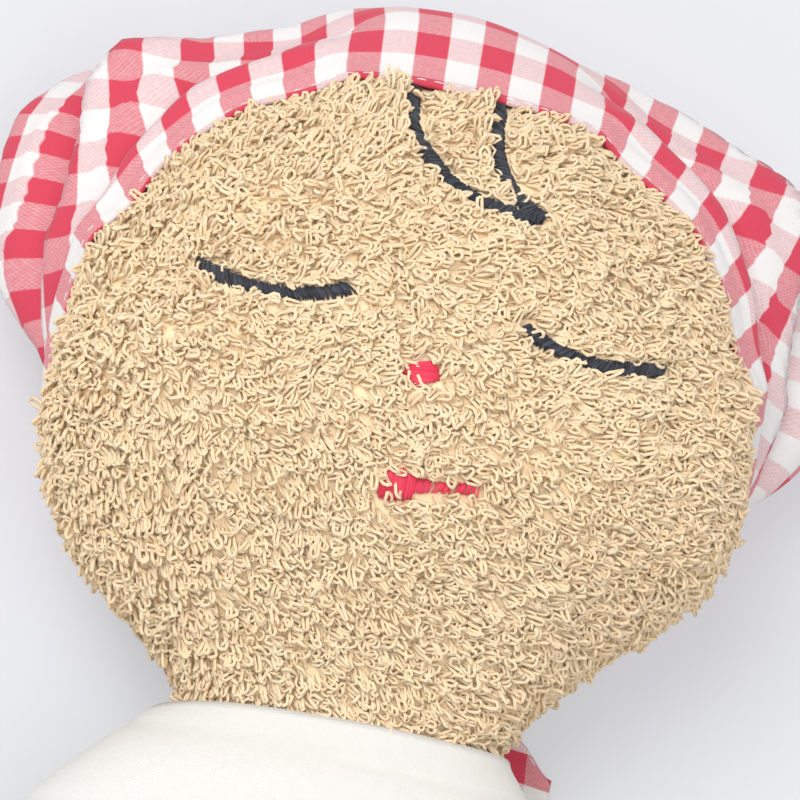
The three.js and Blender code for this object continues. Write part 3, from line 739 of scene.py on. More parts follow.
def pile(names, base, seed, rings, spacing, keep, heading, settle=None):
    """Terry loops over a form, as pieces of like size from one side to the other."""
    rng = np.random.default_rng(seed)
    paths = hairpins(rng, rings)
    thin = size("yarn") * np.ones(rings)
    thin[[0, -1]] *= 0.6
    kinds, quads = tubes(paths, thin, np.tile(UP, (LOOP_KINDS, 1)), LOOP_SIDES)
    kinds = kinds.reshape(LOOP_KINDS, rings * LOOP_SIDES, 3)
    quads = quads[:len(quads) // LOOP_KINDS]
    places, facing = scatter(base, spacing, rng, keep)
    count = len(places)
    scale = rng.uniform(0.8, 1.2, count)
    lay = heading(places, facing, rng)
    lay = unit(lay - (lay * facing).sum(axis=1, keepdims=True) * facing)
    if settle:
        lay, scale = settle(places, lay, scale, rng)
    lean = rng.normal(0, 0.16, count)[:, None]
    along = unit(lay * np.cos(lean) + facing * np.sin(lean))
    aside = unit(np.cross(facing, along))
    out = np.cross(along, aside)
    kind = rng.integers(0, LOOP_KINDS, count)
    local = kinds[kind] * scale[:, None, None]
    points = (
        places[:, None, :] + local[:, :, :1] * along[:, None, :]
        + local[:, :, 1:2] * aside[:, None, :] + local[:, :, 2:] * out[:, None, :]
    )
    points[:, :, 2] = np.maximum(points[:, :, 2], LOOP_GAP)
    lot = 0.4 + 0.7 * rng.beta(3, 2, count)
    # Painted light: tone drops by 0.3 per mm of height over the root, so the roots, where shade falls
    # between loops, are painted lighter and the tips deeper
    tone = np.clip(lot[:, None] - 0.3 * np.clip(local[:, :, 2], -1, 1.6), 0, 1)
    order = np.argsort(places[:, 0])
    pieces = []
    for name, part in zip(names, np.array_split(order, len(names))):
        steps = (np.arange(len(part)) * rings * LOOP_SIDES)[:, None, None]
        obj = quad_object(name, points[part].reshape(-1, 3), (quads[None] + steps).reshape(-1, 4))
        set_tone(obj, tone[part].ravel())
        pieces.append(obj)
    return pieces


def limb_heading(places, facing, rng):
    """Loops on a limb lie down towards its end, in drifts."""
    drift = 1.1 * waves(places, 11, 4) + rng.normal(0, 0.5, len(places))
    return np.column_stack([np.sin(drift), -np.cos(drift), np.zeros(len(places))])


# Face

EYE_INNER = 13.5
EYE_OUTER = 37.2
EYE_SAG = 3.0
NOSE = {"y": EYE_Y - 9.5, "width": 5.9, "height": 3.8}
MOUTH = {"y": EYE_Y - 26.5, "tilt": math.radians(9)}
LOCK = {"x": 14.0, "y": EYE_Y + 20, "width": 23.7, "height": 18.0}
STITCH_LIFT = 0.55       # height of the embroidery over the terry base


def smooth_line(points, count):
    """Even points along a curve through a few points."""
    points = np.asarray(points, float)
    ends = np.concatenate([[2 * points[0] - points[1]], points, [2 * points[-1] - points[-2]]])
    fine = []
    for first, start, stop, last in zip(ends, ends[1:], ends[2:], ends[3:]):
        for t in np.linspace(0, 1, 12, endpoint=False):
            fine.append(0.5 * (
                2 * start + (stop - first) * t + (2 * first - 5 * start + 4 * stop - last) * t ** 2
                + (3 * start - first - 3 * stop + last) * t ** 3
            ))
    fine = np.array(fine + [points[-1]])
    gone = gone_along(fine)
    return at_steps(np.linspace(0, gone[-1], count), gone, fine)


def eye_line(side):
    """Middle of a closed eye, from its inner end to its outer end."""
    share = np.linspace(0, 1, 40)
    sag = EYE_SAG * (0.5 - (1 - (2 * share - 1) ** 2))
    return np.column_stack([side * mix(EYE_INNER, EYE_OUTER, share), EYE_Y + sag])


def lock_lines():
    """The two strands of the lock of hair, from under the kerchief to the tip that they share."""
    long = [[1, 1.16], [1, 0.95], [0.97, 0.63], [0.81, 0.33], [0.57, 0.08], [0.22, -0.02], [0, 0]]
    short = [[0.41, 1.16], [0.41, 0.95], [0.4, 0.67], [0.32, 0.35], [0.17, 0.11], [0, 0]]
    spread = np.array([-LOCK["width"], LOCK["height"]])
    return [smooth_line(np.array(part) * spread + [LOCK["x"], LOCK["y"]], 48) for part in (long, short)]


def mouth_shape():
    """Stations along the mouth and its two edges there: a full end, a waist and a forked tail."""
    stations = [-2.9, -2.6, -2.0, 0, 1.8, 2.4, 2.9, 5, 7, 9.2, 11, 12.6]
    upper = [0.9, 1.8, 2.3, 2.4, 2.4, 2.1, 1.2, 0.7, 0.6, 0.5, 1.1, 1.8]
    lower = [-1.2, -2.0, -2.4, -2.4, -2.3, -2.2, -1.2, -0.9, -0.7, -0.6, -1.0, -1.5]
    return np.array(stations), np.array(upper), np.array(lower)


def stitched_places():
    """Points all over the embroidery, each with the distance that loops keep from it."""
    half = size("line") / 2
    places = [(line, half) for line in [eye_line(1), eye_line(-1), *lock_lines()]]
    turn = np.linspace(0, 2 * math.pi, 24)
    for share in (0.25, 0.75):
        oval = np.column_stack([NOSE["width"] / 2 * np.cos(turn), NOSE["height"] / 2 * np.sin(turn)])
        places.append((share * oval + [0, NOSE["y"]], 0.65))
    stations, upper, lower = mouth_shape()
    for share in (0.2, 0.5, 0.8):
        line = np.column_stack([stations, mix(lower, upper, share)])
        places.append((turned(smooth_line(line, 40)), 0.7))
    return places


def turned(flat):
    """Points of the mouth turned and put in their place."""
    cos, sin = math.cos(MOUTH["tilt"]), math.sin(MOUTH["tilt"])
    return flat @ np.array([[cos, sin], [-sin, cos]]) + [0, MOUTH["y"]]


def clearance(flat):
    """Distance of points (x, y) from the edge of the embroidery, negative inside it."""
    best = np.full(len(flat), 99.0)
    for line, half in stitched_places():
        away = np.linalg.norm(flat[:, None, :] - line[None], axis=2).min(axis=1) - half
        best = np.minimum(best, away)
    return best


def line_stitches(line, rng, slant):
    """Ends of the slanted satin stitches across a line."""
    gone = gone_along(line)
    steps = np.arange(0.3, gone[-1], 1.55 * size("thread"))
    middle = at_steps(steps, gone, line)
    along = unit(np.gradient(middle, axis=0))
    across = np.column_stack([-along[:, 1], along[:, 0]])
    half = size("line") / 2 * rng.uniform(0.74, 1.22, (len(steps), 1))
    lean = half * (slant + rng.normal(0, 0.1, (len(steps), 1)))
    return middle + half * across + lean * along, middle - half * across - lean * along


def oval_stitches(rng):
    """Ends of the level stitches of the nose."""
    steps = np.arange(-0.94, 0.95, 3.1 * size("thread") / NOSE["height"])[:, None]
    half = NOSE["width"] / 2 * np.sqrt(1 - steps ** 2) * rng.uniform(0.92, 1.08, steps.shape)
    level = NOSE["y"] + steps * NOSE["height"] / 2
    slant = 0.35
    return np.hstack([-half, level - slant]), np.hstack([half, level + slant])


def mouth_stitches(rng):
    """Ends of the nearly upright stitches of the mouth."""
    stations, upper, lower = mouth_shape()
    steps = np.arange(stations[0] + 0.15, stations[-1], 1.6 * size("thread"))
    full = steps < 3.2
    thick = full & ((steps + 2.9) % 1.8 > 0.1)
    steps = steps[thick | (~full & (rng.random(len(steps)) > 0.3))]
    ragged = rng.normal(0, 0.12, (2, len(steps)))
    top = np.column_stack([steps + 0.25, np.interp(steps, stations, upper) + ragged[0]])
    foot = np.column_stack([steps - 0.25, np.interp(steps, stations, lower) + ragged[1]])
    return turned(top), turned(foot)


def embroider(name, tree, starts, stops, rng, arch):
    """Satin stitches on the face: threads that rise a little between their two ends."""
    share = np.linspace(0, 1, 7)
    flat = mix(starts[:, None, :], stops[:, None, :], share[None, :, None])
    places, normals = on_face(tree, flat.reshape(-1, 2))
    count = len(starts)
    places = places.reshape(count, -1, 3)
    normals = normals.reshape(count, -1, 3)
    lift = STITCH_LIFT + arch * (1 - (2 * share - 1) ** 2) - 0.7 * (np.abs(2 * share - 1) > 0.99)
    jitter = rng.normal(0, 0.06, (count, 1, 1))
    paths = places + (lift[None, :, None] + jitter) * normals
    sides = 6
    obj = quad_object(name, *tubes(paths, size("thread"), normals[:, 3], sides))
    # Each stitch takes a random share of the painted highlight colour
    set_tone(obj, np.repeat(rng.random(count), len(share) * sides))
    return obj


def face_heading(places, facing, rng):
    """Loops on the face lie over sideways, in drifts, and more upright on the forehead."""
    base = -0.45 + 0.3 * smooth(EYE_Y + 5, EYE_Y + 35, places[:, 1])
    drift = base + 1.3 * waves(places, 21, 1) + 0.5 * waves(places, 7, 2)
    drift = drift + rng.normal(0, 0.6, len(places))
    stray = np.where(rng.random(len(places)) > 0.88, math.pi, 0)
    return np.column_stack([np.cos(drift + stray), np.sin(drift + stray), np.zeros(len(places))])


def clear_of_face(places, lay, scale, rng):
    """Turns or shortens loops that would lie over the embroidery, apart from a few."""
    def covers(direction, share):
        tip = places + direction * (scale * size("loop") * share)[:, None]
        return (clearance(tip[:, :2]) < -0.4) & (tip[:, 2] > NECK[2] + 10)
    strict = rng.random(len(places)) > 0.06
    for angle in (1.3, -2.6, 1.3 + math.pi):
        blocked = (covers(lay, 0.55) | covers(lay, 1.0)) & strict
        aside = lay * math.cos(angle) + np.cross(UP, lay) * math.sin(angle)
        lay = np.where(blocked[:, None], aside, lay)
    blocked = (covers(lay, 0.55) | covers(lay, 1.0)) & strict
    scale = np.where(blocked, scale * 0.55, scale)
    return lay, scale * mix(1, 0.7, smooth(-1.5, 1, under_kerchief(places)))


# Kerchief

EDGE_MIDDLE = np.array([0.0, 117.0, 40.9])   # inside the head, in the plane of the front edge
EDGE_SLOPE = 0.326
OUTWARD = unit(np.array([0.0, -EDGE_SLOPE, 1.0]))
CROWNWARD = unit(np.array([0.0, 1.0, EDGE_SLOPE]))
SIDEWAYS = np.array([1.0, 0.0, 0.0])
KNOT_Y = 58.0            # level of the knot
GATHER = 107.0           # degrees round from the crown to where the cloth is gathered
BAND = 1.6               # height of the front band over the terry base
FULL_PUFF = 18.0         # puff at which the folds have the heights below
# Heights of the band and the two folds behind it, at degrees round from the crown
FOLDS = (
    ([0, 14, 35, 55, 75, 95, 112], [1, 1.5, 6.2, 6, 4.2, 2.6, 1]),
    ([0, 35, 50, 59, 66, 73, 88, 104, 120], [11, 12, 15.5, 22, 20, 14, 8, 3, 0]),
    ([0, 50, 59, 67, 75, 84, 94, 104, 120], [12, 18, 22, 28, 29, 25, 19, 8, 0]),
)


def edge_angle(around):
    """Angle of the cloth's edge from the way out of the front, in degrees."""
    turn = np.abs(around)
    return 94 - 4.5 * smooth(35, 95, turn) + 17 * smooth(104, 160, turn)


def way(around, down):
    """Directions from the middle of the front edge, from angles in degrees."""
    around = np.radians(around)[..., None]
    down = np.radians(down)[..., None]
    flat = np.cos(around) * CROWNWARD + np.sin(around) * SIDEWAYS
    return np.sin(down) * flat + np.cos(down) * OUTWARD


def under_kerchief(places):
    """How far places on the head lie behind the cloth's edge, in degrees."""
    from_middle = places - EDGE_MIDDLE
    out = from_middle @ OUTWARD
    crown = from_middle @ CROWNWARD
    around = np.degrees(np.arctan2(places[:, 0], crown))
    down = np.degrees(np.arctan2(np.hypot(places[:, 0], crown), out))
    return down - edge_angle(around)


def closing(around):
    """How much the folds draw together towards the gathers."""
    return mix(1.05, 0.48, smooth(30, 102, np.abs(around)))


def kerchief_offset(around, behind):
    """Height of the cloth over the head: a tight band, then two puffed folds to the gathers."""
    turn = np.abs(around)
    wave = np.sin(np.radians(around) * 3.1 + 0.6) + 0.6 * np.sin(np.radians(around) * 7.3)
    fold = behind / closing(around) + 0.5 * wave
    full = size("puff") / FULL_PUFF
    band, first, second = (full * np.interp(turn, *stations) for stations in FOLDS)
    first = first * (1 + 0.2 * smooth(20, 38, around) * (1 - smooth(48, 62, around)))
    layers = [
        (4, 0.35 * band), (8, 0.95 * band), (10.5, band), (12.2, 0.55 * band), (13.6, 0.4 * band),
        (16.5, 0.6 * first), (20.5, first), (23, 0.8 * first), (25, 0.5 * first), (29, 0.8 * second),
        (34, second), (40, 0.95 * second), (46, 0.8 * second),
    ]
    layered = np.zeros(np.broadcast(turn, behind).shape)
    start = 0.0
    for place, height in layers:
        layered = mix(layered, height, smooth(start, place, fold))
        start = place
    plain = mix(13.5, 11, smooth(-5, 25, around)) * full * smooth(0.5, 21, behind)
    side = smooth(14, 40, turn) * (1 - smooth(112, 130, turn))
    height = mix(plain * (1 - smooth(100, 130, turn)), layered, side)
    return BAND + height * (1 - smooth(46, 82, behind))


def kerchief_grid(tree):
    """Points of the cloth in rows from its turned-in hem to the back, and the angles that lead there."""
    around = np.linspace(-180, 180, 289)
    edge = edge_angle(around)
    share = np.linspace(0, 1, 104) ** 1.12
    behind = np.concatenate([[4.2, 2.0, 0.5], 90 * share])
    tuck = np.concatenate([[-0.75, -0.75, -0.55], np.zeros(len(share))])
    behind = behind[:, None] * (180 - edge)[None] / 90
    turn = np.broadcast_to(around, behind.shape)
    ways = way(turn, edge[None] + behind)
    flat = ways.reshape(-1, 3)
    reach = cast(tree, np.tile(EDGE_MIDDLE, (len(flat), 1)), flat).reshape(behind.shape)
    reach = reach + kerchief_offset(turn, behind) + tuck[:, None]
    points = EDGE_MIDDLE + ways * reach[..., None]
    pull = 0.62 * np.exp(-((np.abs(turn) - GATHER) / 11) ** 2) * smooth(2, 22, behind)
    column = int(np.argmin(np.abs(around - GATHER)))
    knot = points[10, column]
    knots = np.where(turn[..., None] > 0, knot, knot * [-1, 1, 1])
    points = mix(points, knots, pull[..., None])
    low = 0.7
    soft = 1.6
    points[..., 2] = low + soft * np.logaddexp(0, (points[..., 2] - low) / soft)
    return points, ways, around, behind


def kerchief_places(points, around, behind):
    """Places on the flat cloth, in mm: the band follows its edge, the puffs keep to the grain."""
    middle = len(around) // 2
    places = cloth_places(points, middle, 60)
    starts = np.array([
        [np.interp(12.8 * near, down[3:], column[3:, axis]) for axis in (0, 1)]
        for near, down, column in zip(closing(around), behind.T, places.transpose(1, 0, 2))
    ])
    turn = np.radians(0.95 * np.sign(around) * np.maximum(np.abs(around) - 20, 0))
    ahead = np.column_stack([np.cos(turn), -np.sin(turn)])
    steps = np.diff(starts[:, 0])[:, None] * (ahead[1:] + ahead[:-1]) / 2
    corner = np.concatenate([[[0, 0]], np.cumsum(steps, axis=0)])
    corner += starts[middle] - corner[middle]
    far = places[..., 1] - starts[:, 1]
    back = far[np.abs(behind[:, middle] - 48).argmin()]
    upward = np.column_stack([np.sin(turn), np.cos(turn)])
    grain = corner + np.minimum(far, 2 * back - far)[..., None] * upward
    return np.where(far[..., None] > 0, grain, places)


def cloth_places(points, middle, ease=0):
    """Places of a grid on the flat cloth, in mm: along its rows from a column, and up them."""
    across = np.linalg.norm(np.diff(points, axis=1), axis=2)
    gone = np.concatenate([np.zeros((len(points), 1)), np.cumsum(across, axis=1)], axis=1)
    gone -= gone[:, middle:middle + 1]
    rows = np.linalg.norm(np.diff(points, axis=0), axis=2)
    up = np.concatenate([np.zeros((1, points.shape[1])), np.cumsum(rows, axis=0)])
    for _ in range(ease):
        gone[1:-1] = (gone[:-2] + 2 * gone[1:-1] + gone[2:]) / 4
        up[:, 1:-1] = (up[:, :-2] + 2 * up[:, 1:-1] + up[:, 2:]) / 4
    return np.stack([gone, up], -1)


def cloth_object(name, points, places):
    """Sheet of cloth over a grid of points, with its flat places as a UV map and its joins closed."""
    obj = quad_object(name, points.reshape(-1, 3), grid_quads(*points.shape[:2]))
    set_uv(obj, places.reshape(-1, 2))
    weld(obj)
    return obj


def thicken(obj):
    """Gives a sheet its thickness, half to each side."""
    apply_modifier(obj, "SOLIDIFY", thickness=size("cloth") * MM, offset=0.0)
    bpy.ops.object.shade_smooth()


def running_stitch(name, line, ups, rng):
    """Row of short stitches along a line of points on a cloth."""
    gone = gone_along(line)
    starts = np.arange(0.4, gone[-1] - 2.4, 2.9)
    share = np.linspace(0, 1, 6)
    steps = starts[:, None] + 2.1 * share[None] + rng.normal(0, 0.05, (len(starts), 1))
    lifts = at_steps(steps, gone, ups)
    paths = at_steps(steps, gone, line) + lifts * (0.3 - 0.4 * (2 * share - 1)[None, :, None] ** 4)
    sides = 4
    obj = quad_object(name, *tubes(paths, 0.1, unit(lifts[:, 3]), sides))
    # Each stitch takes a random share of the painted highlight colour
    set_tone(obj, np.repeat(rng.random(len(starts)), len(share) * sides))
    return obj


def tail_points(side):
    """Points of a tied end that widens along a crease to a corner, the right one under the jaw."""
    along = np.linspace(0, 1, 36)[:, None]
    across = np.linspace(-1, 1, 21)[None, :]
    half = mix(3.5, 8.5, along) * (1 - 0.75 * smooth(0.75, 1, along))
    angle = math.radians(-6 if side > 0 else 25)
    long = 31 if side > 0 else 24.5
    x = 8.5 + long * along * math.cos(angle) + 0 * across
    y = KNOT_Y + long * along * math.sin(angle) + half * across
    y = np.where(y > 64, 64 + 0.55 * (y - 64), y)
    crease = 1.5 * (1 - np.abs(across)) + 0.5 * np.sin(5 * across + 4 * along) * along
    z = mix(4.4, 1.8, smooth(0, 0.6, along)) + crease
    return np.stack([side * x, y, z], -1)


def knot_object():
    """Knot of cloth: a ball drawn in by the turns of the tied ends, with pleats round it."""
    low, high = (corner / MM for corner in bounds_of(["kerchief_knot"]))
    obj = ball("kerchief_knot_cloth", 72, 40)
    start = points_of(obj) * MM
    share = start[:, 2]
    angle = np.arctan2(start[:, 1], start[:, 0])
    round_off = np.sqrt(np.maximum(0, 1 - share ** 2)) ** 0.75
    waist = 1 - 0.2 * np.cos(1.5 * math.pi * share) ** 2
    pleat = 1 - 0.09 * np.abs(np.sin(4.5 * angle + 2.5 * share)) ** 0.6
    radius = round_off * waist * pleat
    half = (high - low) / 2
    points = np.column_stack([share, radius * np.cos(angle), radius * np.sin(angle)]) * half
    set_points(obj, points + (low + high) / 2)
    set_uv(obj, np.column_stack([angle * half[1], share * half[0] * 1.6]))
    bpy.ops.object.shade_smooth()
    return obj


# Top

NECKLINE = 53.6          # level of the neckline at the front
NECK_SHIFT = 1.5         # how far the neckline has slipped to the doll's left
TOP_HEM = -31.0
ARMHOLE = {"y": 17.0, "z": 22.0, "radius": 10.2}
TOP_COLUMNS = 193
TOP_ROWS = 76
TOP_EASE = 1.35          # how far the top stands off the body
BODY_WIDE = 43.5         # half width of the body under the shoulders
BODY_DEEP = 22.5         # half depth of the body
SLOPE = -22.0            # where the shoulders begin to slope, from the neck axis


def neckline(wide):
    """Level of the top's neckline, from the share of its half width."""
    return NECKLINE - 1.1 * wide ** 2 + 1.45 * wide


def body_section(y):
    """Half width, half depth and middle height of the body at levels."""
    up = y - NECK[1]
    from_hip = np.maximum(up + 105.15, 0.1)
    drop = np.clip((-8 - up) / 12, 0, 1)
    shoulder = mix(31.5, BODY_WIDE, 1 - (1 - drop) ** 2) * mix(0.88, 1, smooth(0, 45, from_hip))
    deep = np.minimum(BODY_DEEP * np.tanh(0.85 * from_hip / BODY_DEEP), mix(20.9, BODY_DEEP, drop))
    lying = np.maximum(13, deep + 1.3)
    height = mix(lying, NECK[2], smooth(-38, -8, up))
    slope = np.clip((up - SLOPE) / (NECKLINE - NECK[1] - SLOPE), 0, 1)
    sloped = np.minimum(mix(BODY_WIDE, 26.5, slope ** 1.12), shoulder)
    shoulder = np.where(up > SLOPE, sloped, shoulder)
    return shoulder, deep - 3.4 * smooth(-16, -1, up), height


def top_grid():
    """Points of the cotton top in rows from its turned-in hem to its turned-in neckline."""
    angle = np.linspace(-1.5 * math.pi, 0.5 * math.pi, TOP_COLUMNS)
    cos, sin = np.cos(angle), np.sin(angle)
    square = 2 / POWER
    wide = np.sign(cos) * np.abs(cos) ** square
    deep = np.sign(sin) * np.abs(sin) ** square
    share = np.concatenate([[0.05, 0.008], np.linspace(0, 1, TOP_ROWS), [0.996, 0.965]])
    grow = np.concatenate([[0.5, 0.6], np.full(TOP_ROWS, TOP_EASE), [0.9, 0.7]])
    level = neckline(wide) + 0.3 * np.sin(3 * angle + 1)
    y = mix(TOP_HEM, level[None], share[:, None])
    a, c, z = body_section(y)
    loose = 1 - smooth(TOP_HEM, ARMHOLE["y"] + 8, y)
    fold = loose * (0.9 + np.cos(11 * angle[None] + 1.2 * np.sin(y / 19)))
    front = smooth(-0.25, 0.25, sin)[None]
    puckers = 0.55 * np.sin(y / 5.1 + 7 * angle[None]) * smooth(25, 45, y) * np.cos(2 * angle[None]) ** 2
    lift = grow[:, None] + 0.85 * fold * front + 0.35 * puckers * front
    x = (a + lift) * wide[None] + NECK_SHIFT * smooth(NECKLINE - 20, NECKLINE, y)
    points = np.stack([x, y, z + (c + lift) * deep[None]], -1)
    points[..., 2] = np.maximum(points[..., 2], 0.3)
    return points


def cut_armholes(obj):
    """Opens the armholes of the top and draws their edges to a round."""
    points = points_of(obj)
    rel = points[:, 1:] - [ARMHOLE["y"], ARMHOLE["z"]]
    away = np.linalg.norm(rel, axis=1)
    inside = (away < ARMHOLE["radius"]) & (np.abs(points[:, 0]) > 30)
    gone = {face.index for face in obj.data.polygons if all(inside[corner] for corner in face.vertices)}
    scale = np.where(inside, ARMHOLE["radius"] / np.maximum(away, 0.1), 1)[:, None]
    points[:, 1:] = [ARMHOLE["y"], ARMHOLE["z"]] + rel * scale
    set_points(obj, points)
    activate(obj)
    bpy.ops.object.mode_set(mode="EDIT")
    bpy.ops.mesh.select_all(action="DESELECT")
    bpy.ops.object.mode_set(mode="OBJECT")
    for face in obj.data.polygons:
        face.select = face.index in gone
    bpy.ops.object.mode_set(mode="EDIT")
    bpy.ops.mesh.select_mode(type="FACE")
    bpy.ops.mesh.delete(type="FACE")
    bpy.ops.object.mode_set(mode="OBJECT")
    weld(obj)


def binding(side):
    """Rolled edge of an armhole, as a path round it."""
    turn = np.linspace(0, 2 * math.pi, 65)
    y = ARMHOLE["y"] + ARMHOLE["radius"] * np.cos(turn)
    z = ARMHOLE["z"] + ARMHOLE["radius"] * np.sin(turn)
    a, c, middle = body_section(y)
    share = np.clip(np.abs((z - middle) / (c + TOP_EASE)), 0, 0.98)
    x = (a + TOP_EASE) * (1 - share ** POWER) ** (1 / POWER)
    return np.column_stack([side * x, y, z])


# Stage

# Camera's roll in degrees, lean and distance, the width that it sees, and where the eyes fall in 800 px
PHOTO = {"roll": 13.0, "lean": (0.06, 0.207), "distance": 700.0, "width": 123.0, "eye": (437.0, 312.0)}
SENSOR = 36.0
# Each lamp's name, place, aim, width and power
LAMPS = (
    ("key", (-0.42, 0.32, 1.15), (0, 0.1, 0.03), 0.8, 8.8),
    ("fill", (0.3, -0.15, 1.25), (0, 0.05, 0.03), 0.9, 4.2),
)


def add_camera():
    """Camera at the photograph's angle, aimed so that the eyes fall where they do there."""
    roll = math.radians(PHOTO["roll"])
    forward = Vector((*PHOTO["lean"], -1)).normalized()
    right = Vector((math.cos(roll), math.sin(roll), 0))
    right = (right - forward * right.dot(forward)).normalized()
    up = right.cross(forward)
    across = (PHOTO["eye"][0] - 400) / 800 * PHOTO["width"]
    above = (400 - PHOTO["eye"][1]) / 800 * PHOTO["width"]
    eyes = Vector((0, EYE_Y, 71))
    place = eyes - (right * across + up * above + forward * PHOTO["distance"])
    turn = Matrix((right, up, -forward)).transposed().to_euler()
    bpy.ops.object.camera_add(location=place * MM, rotation=turn)
    camera = bpy.context.object
    camera.data.sensor_width = SENSOR
    camera.data.lens = SENSOR * PHOTO["distance"] / PHOTO["width"]
    camera.data.clip_start = 0.01
    camera.data.clip_end = 20
    bpy.context.scene.camera = camera


def add_lamp(name, place, aim, width, power):
    """Large soft lamp at a place, aimed at a point, both in metres."""
    place = Vector(place)
    turn = (Vector(aim) - place).to_track_quat("-Z", "Y").to_euler()
    bpy.ops.object.light_add(type="AREA", location=place, rotation=turn)
    lamp = bpy.context.object
    lamp.name = name
    lamp.data.shape = "DISK"
    lamp.data.size = width
    lamp.data.energy = power


def floor_material():
    """Smooth pale board with a faint unevenness."""
    material, tree, end = new_material("Floor")
    place = add_node(tree, "ShaderNodeTexCoord").outputs["Object"]
    cloudy = add_node(tree, "ShaderNodeTexNoise", {"Vector": place, "Scale": 3.0, "Detail": 2.0})
    low = tuple(0.97 * part for part in tint("floor")[:3])
    shade = mix_colour(tree, cloudy.outputs["Fac"], (*low, 1), tint("floor"))
    solid = add_node(tree, "ShaderNodeBsdfPrincipled", {
        "Base Color": shade, "Roughness": 0.8, "Specular IOR Level": 0.2,
    })
    pale = add_node(tree, "ShaderNodeEmission", {"Color": shade, "Strength": 1.0})
    rays = add_node(tree, "ShaderNodeLightPath")
    seen = math_node(tree, "MAXIMUM", rays.outputs["Is Camera Ray"], rays.outputs["Is Glossy Ray"])
    seen = math_node(tree, "MAXIMUM", seen, rays.outputs["Is Transmission Ray"])
    share = math_node(tree, "MULTIPLY", seen, 0.45)
    blend(tree, end, share, solid, pale)
    return material


def add_world():
    """Even pale light from all round."""
    world = bpy.context.scene.world or bpy.data.worlds.new("World")
    bpy.context.scene.world = world
    world.use_nodes = True
    tree = world.node_tree
    tree.nodes.clear()
    sky = add_node(tree, "ShaderNodeBackground", {"Color": (*srgb(252, 253, 254), 1), "Strength": 0.56})
    end = tree.nodes.new("ShaderNodeOutputWorld")
    tree.links.new(sky.outputs[0], end.inputs["Surface"])


# Operators

def nodes_of(part):
    """Names of the two panels and the stuffing of a stuffed part."""
    return [f"{part}_front_panel", f"{part}_back_panel", f"{part}_stuffing"]


def head_tree():
    """Search tree of the head's base."""
    return tree_of(bpy.data.objects["head_base"])


class DOLL_OT_head(bpy.types.Operator):
    """Models the stuffed head and neck and their terry pile"""
    bl_idname = "doll.head"
    bl_label = "Head"

    def execute(self, context):
        def seam(points, normals):
            return (np.abs(normals[:, 2]) < 0.2) | (points[:, 1] < NECK[1] + 10)

        def keep(places, facing):
            bare = (clearance(places[:, :2]) > 0.15) | (places[:, 2] < NECK[2] + 12)
            above = places[:, 1] > neckline(places[:, 0] / 27) - 1.5
            return (under_kerchief(places) < 2) & bare & above

        nodes = nodes_of("head")
        base = stuffed("head_base", nodes, 3.0, 1.6, seam)
        settle_jaw(base)
        finish_piece(base, "head", backing_material(), nodes)
        parts = ("right", "brow_right", "middle_right", "middle_left", "brow_left", "left")
        names = [f"head_pile_{part}" for part in parts]
        for piece in pile(names, base, 11, FACE_RINGS, size("spacing"), keep, face_heading, clear_of_face):
            finish_piece(piece, "head", terry_material())
        return {"FINISHED"}


class DOLL_OT_face(bpy.types.Operator):
    """Embroiders the closed eyes, the nose, the mouth and the lock of hair"""
    bl_idname = "doll.face"
    bl_label = "Face"

    def execute(self, context):
        tree = head_tree()
        rng = np.random.default_rng(5)

        def add(node, ends, arch, thread):
            piece = embroider(f"{node}_stitches", tree, *ends, rng, arch)
            finish_piece(piece, "head", thread_material(thread), [node])

        for label, side in SIDES:
            add(f"eye_{label}", line_stitches(eye_line(side), rng, 0.55 * side), 0.35, "dark_thread")
        strands = [line_stitches(line, rng, 0.5) for line in lock_lines()]
        add("hair_lock", [np.concatenate(parts) for parts in zip(*strands)], 0.3, "dark_thread")
        add("nose", oval_stitches(rng), 0.6, "red_thread")
        add("mouth", mouth_stitches(rng), 0.35, "red_thread")
        return {"FINISHED"}


class DOLL_OT_kerchief(bpy.types.Operator):
    """Models the gingham kerchief with its folds, its hem and its topstitching"""
    bl_idname = "doll.kerchief"
    bl_label = "Kerchief"

    def execute(self, context):
        points, ways, around, behind = kerchief_grid(head_tree())
        places = kerchief_places(points, around, behind)
        cloth = cloth_object("kerchief_cloth", points, places)
        thicken(cloth)
        seen = np.abs(around) < 112
        row = 5
        rng = np.random.default_rng(8)
        stitches = running_stitch("kerchief_topstitch", points[row, seen], ways[row, seen], rng)
        finish_piece(stitches, "head", thread_material("white"))
        finish_piece(cloth, "head", gingham_material(), ["kerchief"])
        return {"FINISHED"}


class DOLL_OT_knot(bpy.types.Operator):
    """Models the knot behind the neck and the two tied ends"""
    bl_idname = "doll.knot"
    bl_label = "Knot and ends"

    def execute(self, context):
        knot = knot_object()
        finish_piece(knot, "head", gingham_material(), ["kerchief_knot"])
        for label, side in SIDES:
            points = tail_points(side)
            if side < 0:
                points = points[:, ::-1]
            places = cloth_places(points, points.shape[1] // 2)
            tail = cloth_object(f"kerchief_tail_{label}_cloth", points, places)
            thicken(tail)
            rng = np.random.default_rng(9)
            edges = [points[4:-2, 1], points[4:-2, -2]]
            stitches = [
                running_stitch(f"tail_{label}_topstitch_{index}", edge, np.tile(UP, (len(edge), 1)), rng)
                for index, edge in enumerate(edges)
            ]
            for piece in stitches:
                finish_piece(piece, "head", thread_material("white"))
            finish_piece(tail, "head", gingham_material(), [f"kerchief_tail_{label}"])
        return {"FINISHED"}


